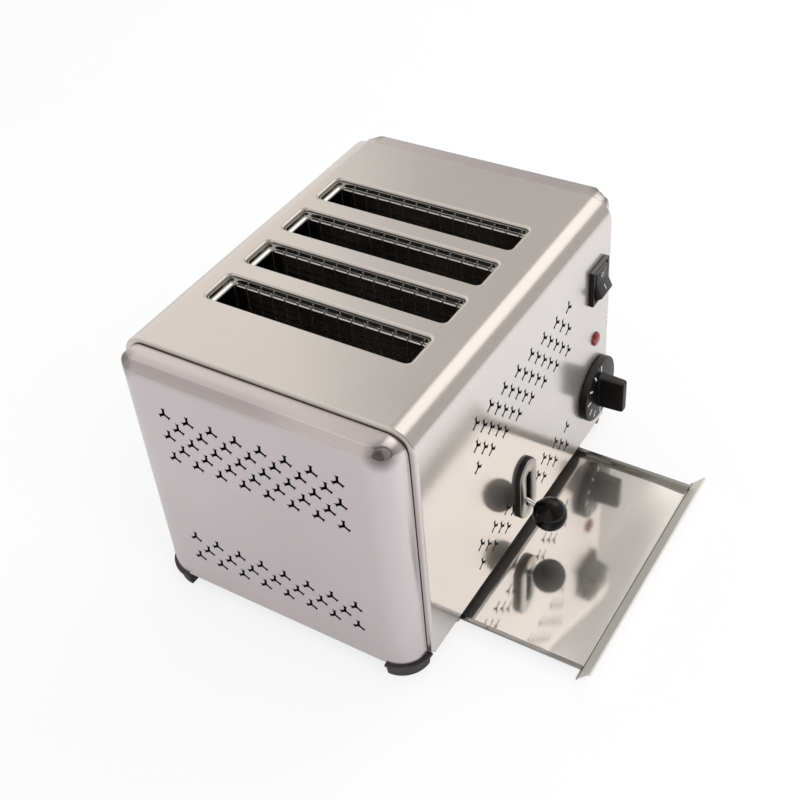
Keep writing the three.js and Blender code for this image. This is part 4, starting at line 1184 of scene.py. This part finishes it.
rocker_tilt = math.radians(-14)
rocker_pivot = (switch_x, -57.3, switch_z)
rocker_half = 8.7
rocker_corners = [(3, -9), (-2, -12.3), (-8, -9.5), (-6, 0), (-8, 9.5), (-2, 12.3), (3, 9)]
rocker_line = rounded_line(rocker_corners, 1.2, 5)
rocker_ends = [(-rocker_half, 0.88), (-rocker_half + 0.25, 0.96), (-rocker_half + 0.8, 1.0)]
rocker_ends += [(-x, shrink) for x, shrink in reversed(rocker_ends)]
rocker_rings = [[(x, a * shrink, b * shrink) for a, b in rocker_line] for x, shrink in rocker_ends]
rocker = tipped(capped(rocker_rings), rocker_tilt, rocker_pivot)
piece("switch_rocker_cap", rocker, rocker_finish, "rocker", ["switch_rocker"], 30)
rocker_slope = math.atan2(2, 9.5)
slope_front, slope_up = -7.0, 4.75
mark_under, mark_over = -0.2, 0.12


def on_rocker(shape, side):
    """Sets a flat mark on the upper slope of the rocker, side 1, or on the lower, side -1."""
    points, faces = shape
    cosine, sine = math.cos(side * rocker_slope), math.sin(side * rocker_slope)
    placed = []
    for across, over, up in points:
        y = -over * cosine - up * sine + slope_front
        z = -over * sine + up * cosine + side * slope_up
        placed.append((across, y, z))
    return placed, faces


ring_inner, ring_outer, ring_steps = 1.5, 1.84, 28
line_half_width, line_half_length = 0.3, 1.9
ring_section = (
    (ring_inner, mark_under), (ring_outer, mark_under), (ring_outer, mark_over), (ring_inner, mark_over),
)
ring_rings = []
for across, up in circle(1, 0, 0, ring_steps):
    ring_rings.append([(radius * across, over, radius * up) for radius, over in ring_section])
line_outline = [(x * line_half_width, z * line_half_length) for x, z in ((-1, -1), (1, -1), (1, 1), (-1, 1))]
line_mark = capped([stood(line_outline, over) for over in (mark_under, mark_over)])
switch_marks = gathered([on_rocker(banded(ring_rings), 1), on_rocker(line_mark, -1)])
switch_marks = tipped(switch_marks, rocker_tilt, rocker_pivot)
piece("switch_marks", switch_marks, mark_finish, "rocker")


# Cord gland
# A bush of the same black rubber as the feet, with a stepped flange, is pressed into the back
# sheet. Its bore is empty.
gland_profile = [
    (4, 133), (7.9, 133), (7.9, 150.2), (8.2, 150.3), (10.6, 150.3), (11, 150.7), (11, 151.6),
    (10.6, 152.0), (9.4, 152.2), (9.2, 152.8), (8.8, 153.3), (4.6, 153.3), (4.1, 152.9), (4, 152.4),
]
gland = banded([stood(circle(radius, *gland_at, 48), y) for radius, y in gland_profile])
piece("gland_bush", gland, rubber_finish, stands_for=["cord_gland"])


# Heating elements
# Flat ribbon wound round a board of pressed mica, which hangs in a folded rail under the
# shields. They stand between and outside the slots.
mica_finish, mica, mica_here = finish("mica_board")
mica_flakes = mica.node("TexVoronoi", {}, {"Vector": mica_here, "Scale": 260.0}, "Distance")
mica_burn = mica_here.noise(22.0, 4.0).between(0.35, 0.7)
mica.skin({
    "Base Color": mica_burn.mixed(srgb(62, 55, 45), srgb(30, 26, 21)),
    "Roughness": 0.55 + mica_flakes * 0.3,
    "Normal": mica_flakes.raised(0.2),
})
ribbon_finish = steel("element_ribbon", (0.34, 0.31, 0.29, 1), 0.4, (300, 300, 300), cloud=0.1, streak=0.08)
board_half, rail_half, rail_depth = 0.8, 1.5, 7.8
ribbon_in, ribbon_out, ribbon_width, ribbon_pitch = 1.0, 1.15, 1.8, 5.2
for number in range(1, 6):
    low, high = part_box(f"element_{number}")
    at = (low.x + high.x) / 2 / mm
    rail_front, rail_back = low.y / mm + 0.5, high.y / mm - 0.5
    board_low, rail_high = low.z / mm, high.z / mm
    board_high = rail_high - 4
    board_line = [
        (at - board_half, board_low + 0.2), (at - 0.6, board_low), (at + 0.6, board_low),
        (at + board_half, board_low + 0.2), (at + board_half, board_high), (at - board_half, board_high),
    ]
    board = swept(board_line, "y", rail_front + 8, rail_back - 8)
    rail_line = rounded_line([
        (at - rail_half, rail_high - rail_depth), (at - rail_half, rail_high),
        (at + rail_half, rail_high), (at + rail_half, rail_high - rail_depth),
    ], 0.8, 4)
    rail = swept(folded(rail_line, 0.5), "y", rail_front, rail_back)
    shape = gathered([board, rail])
    element = f"element_{number}"
    piece(f"element_board_{number}", shape, mica_finish, stands_for=[element])
    turns = []
    z = board_low + 6
    while z < rail_high - 12:
        for inner, outer, up in ((-ribbon_out, -ribbon_in, z), (ribbon_in, ribbon_out, z + 1.6)):
            top = up + ribbon_width
            turn_line = [(at + inner, up), (at + outer, up), (at + outer, top), (at + inner, top)]
            turns.append(swept(turn_line, "y", rail_front + 8.5, rail_back - 8.5))
        z += ribbon_pitch
    piece(f"element_ribbon_{number}", gathered(turns), ribbon_finish)


# Inner sheets, rods and fixings
# Folded and turned steel parts that show only through the slots, the vents and from below.
# They keep their shapes and get plated or plain steel finishes; the oven sheets are near black, painted
# shade for the dark inside of the casing.
zinc_parts = [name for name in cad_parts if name.startswith("foot_screw")]
zinc_parts += ["base_plate", "rack_carriage", "pivot_bracket", "timer_shaft"]
oven_parts = ["front_shield", "rear_shield"]
rod_parts = ["pivot_pin"]
for side in ("left", "right"):
    zinc_parts.append(f"tray_rail_{side}")
    oven_parts += [f"side_shield_{side}", f"chassis_end_{side}"]
    rod_parts.append(f"guide_rod_{side}")
zinc_finish = steel(
    "zinc_plate", (0.50, 0.50, 0.49, 1), 0.42, (60, 60, 60), cloud=0.1, streak=0.06, spots=0.08,
)
# Painted shade: the oven sheets are near black, so the inside looks dark through the slots and vents.
oven_finish = steel(
    "oven_sheet", (0.05, 0.045, 0.04, 1), 0.5, (60, 200, 200), cloud=0.12, spots=0.1,
)
cream_finish = plastic("cream_moulding", srgb(196, 190, 172), srgb(214, 208, 192), 0.45)
for material, names in (
    (zinc_finish, zinc_parts),
    (oven_finish, oven_parts),
    (lever_polish, rod_parts),
    (cream_finish, ["timer_body", "lamp_body"]),
):
    for name in names:
        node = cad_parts[name]
        node.data.materials.clear()
        node.data.materials.append(material)
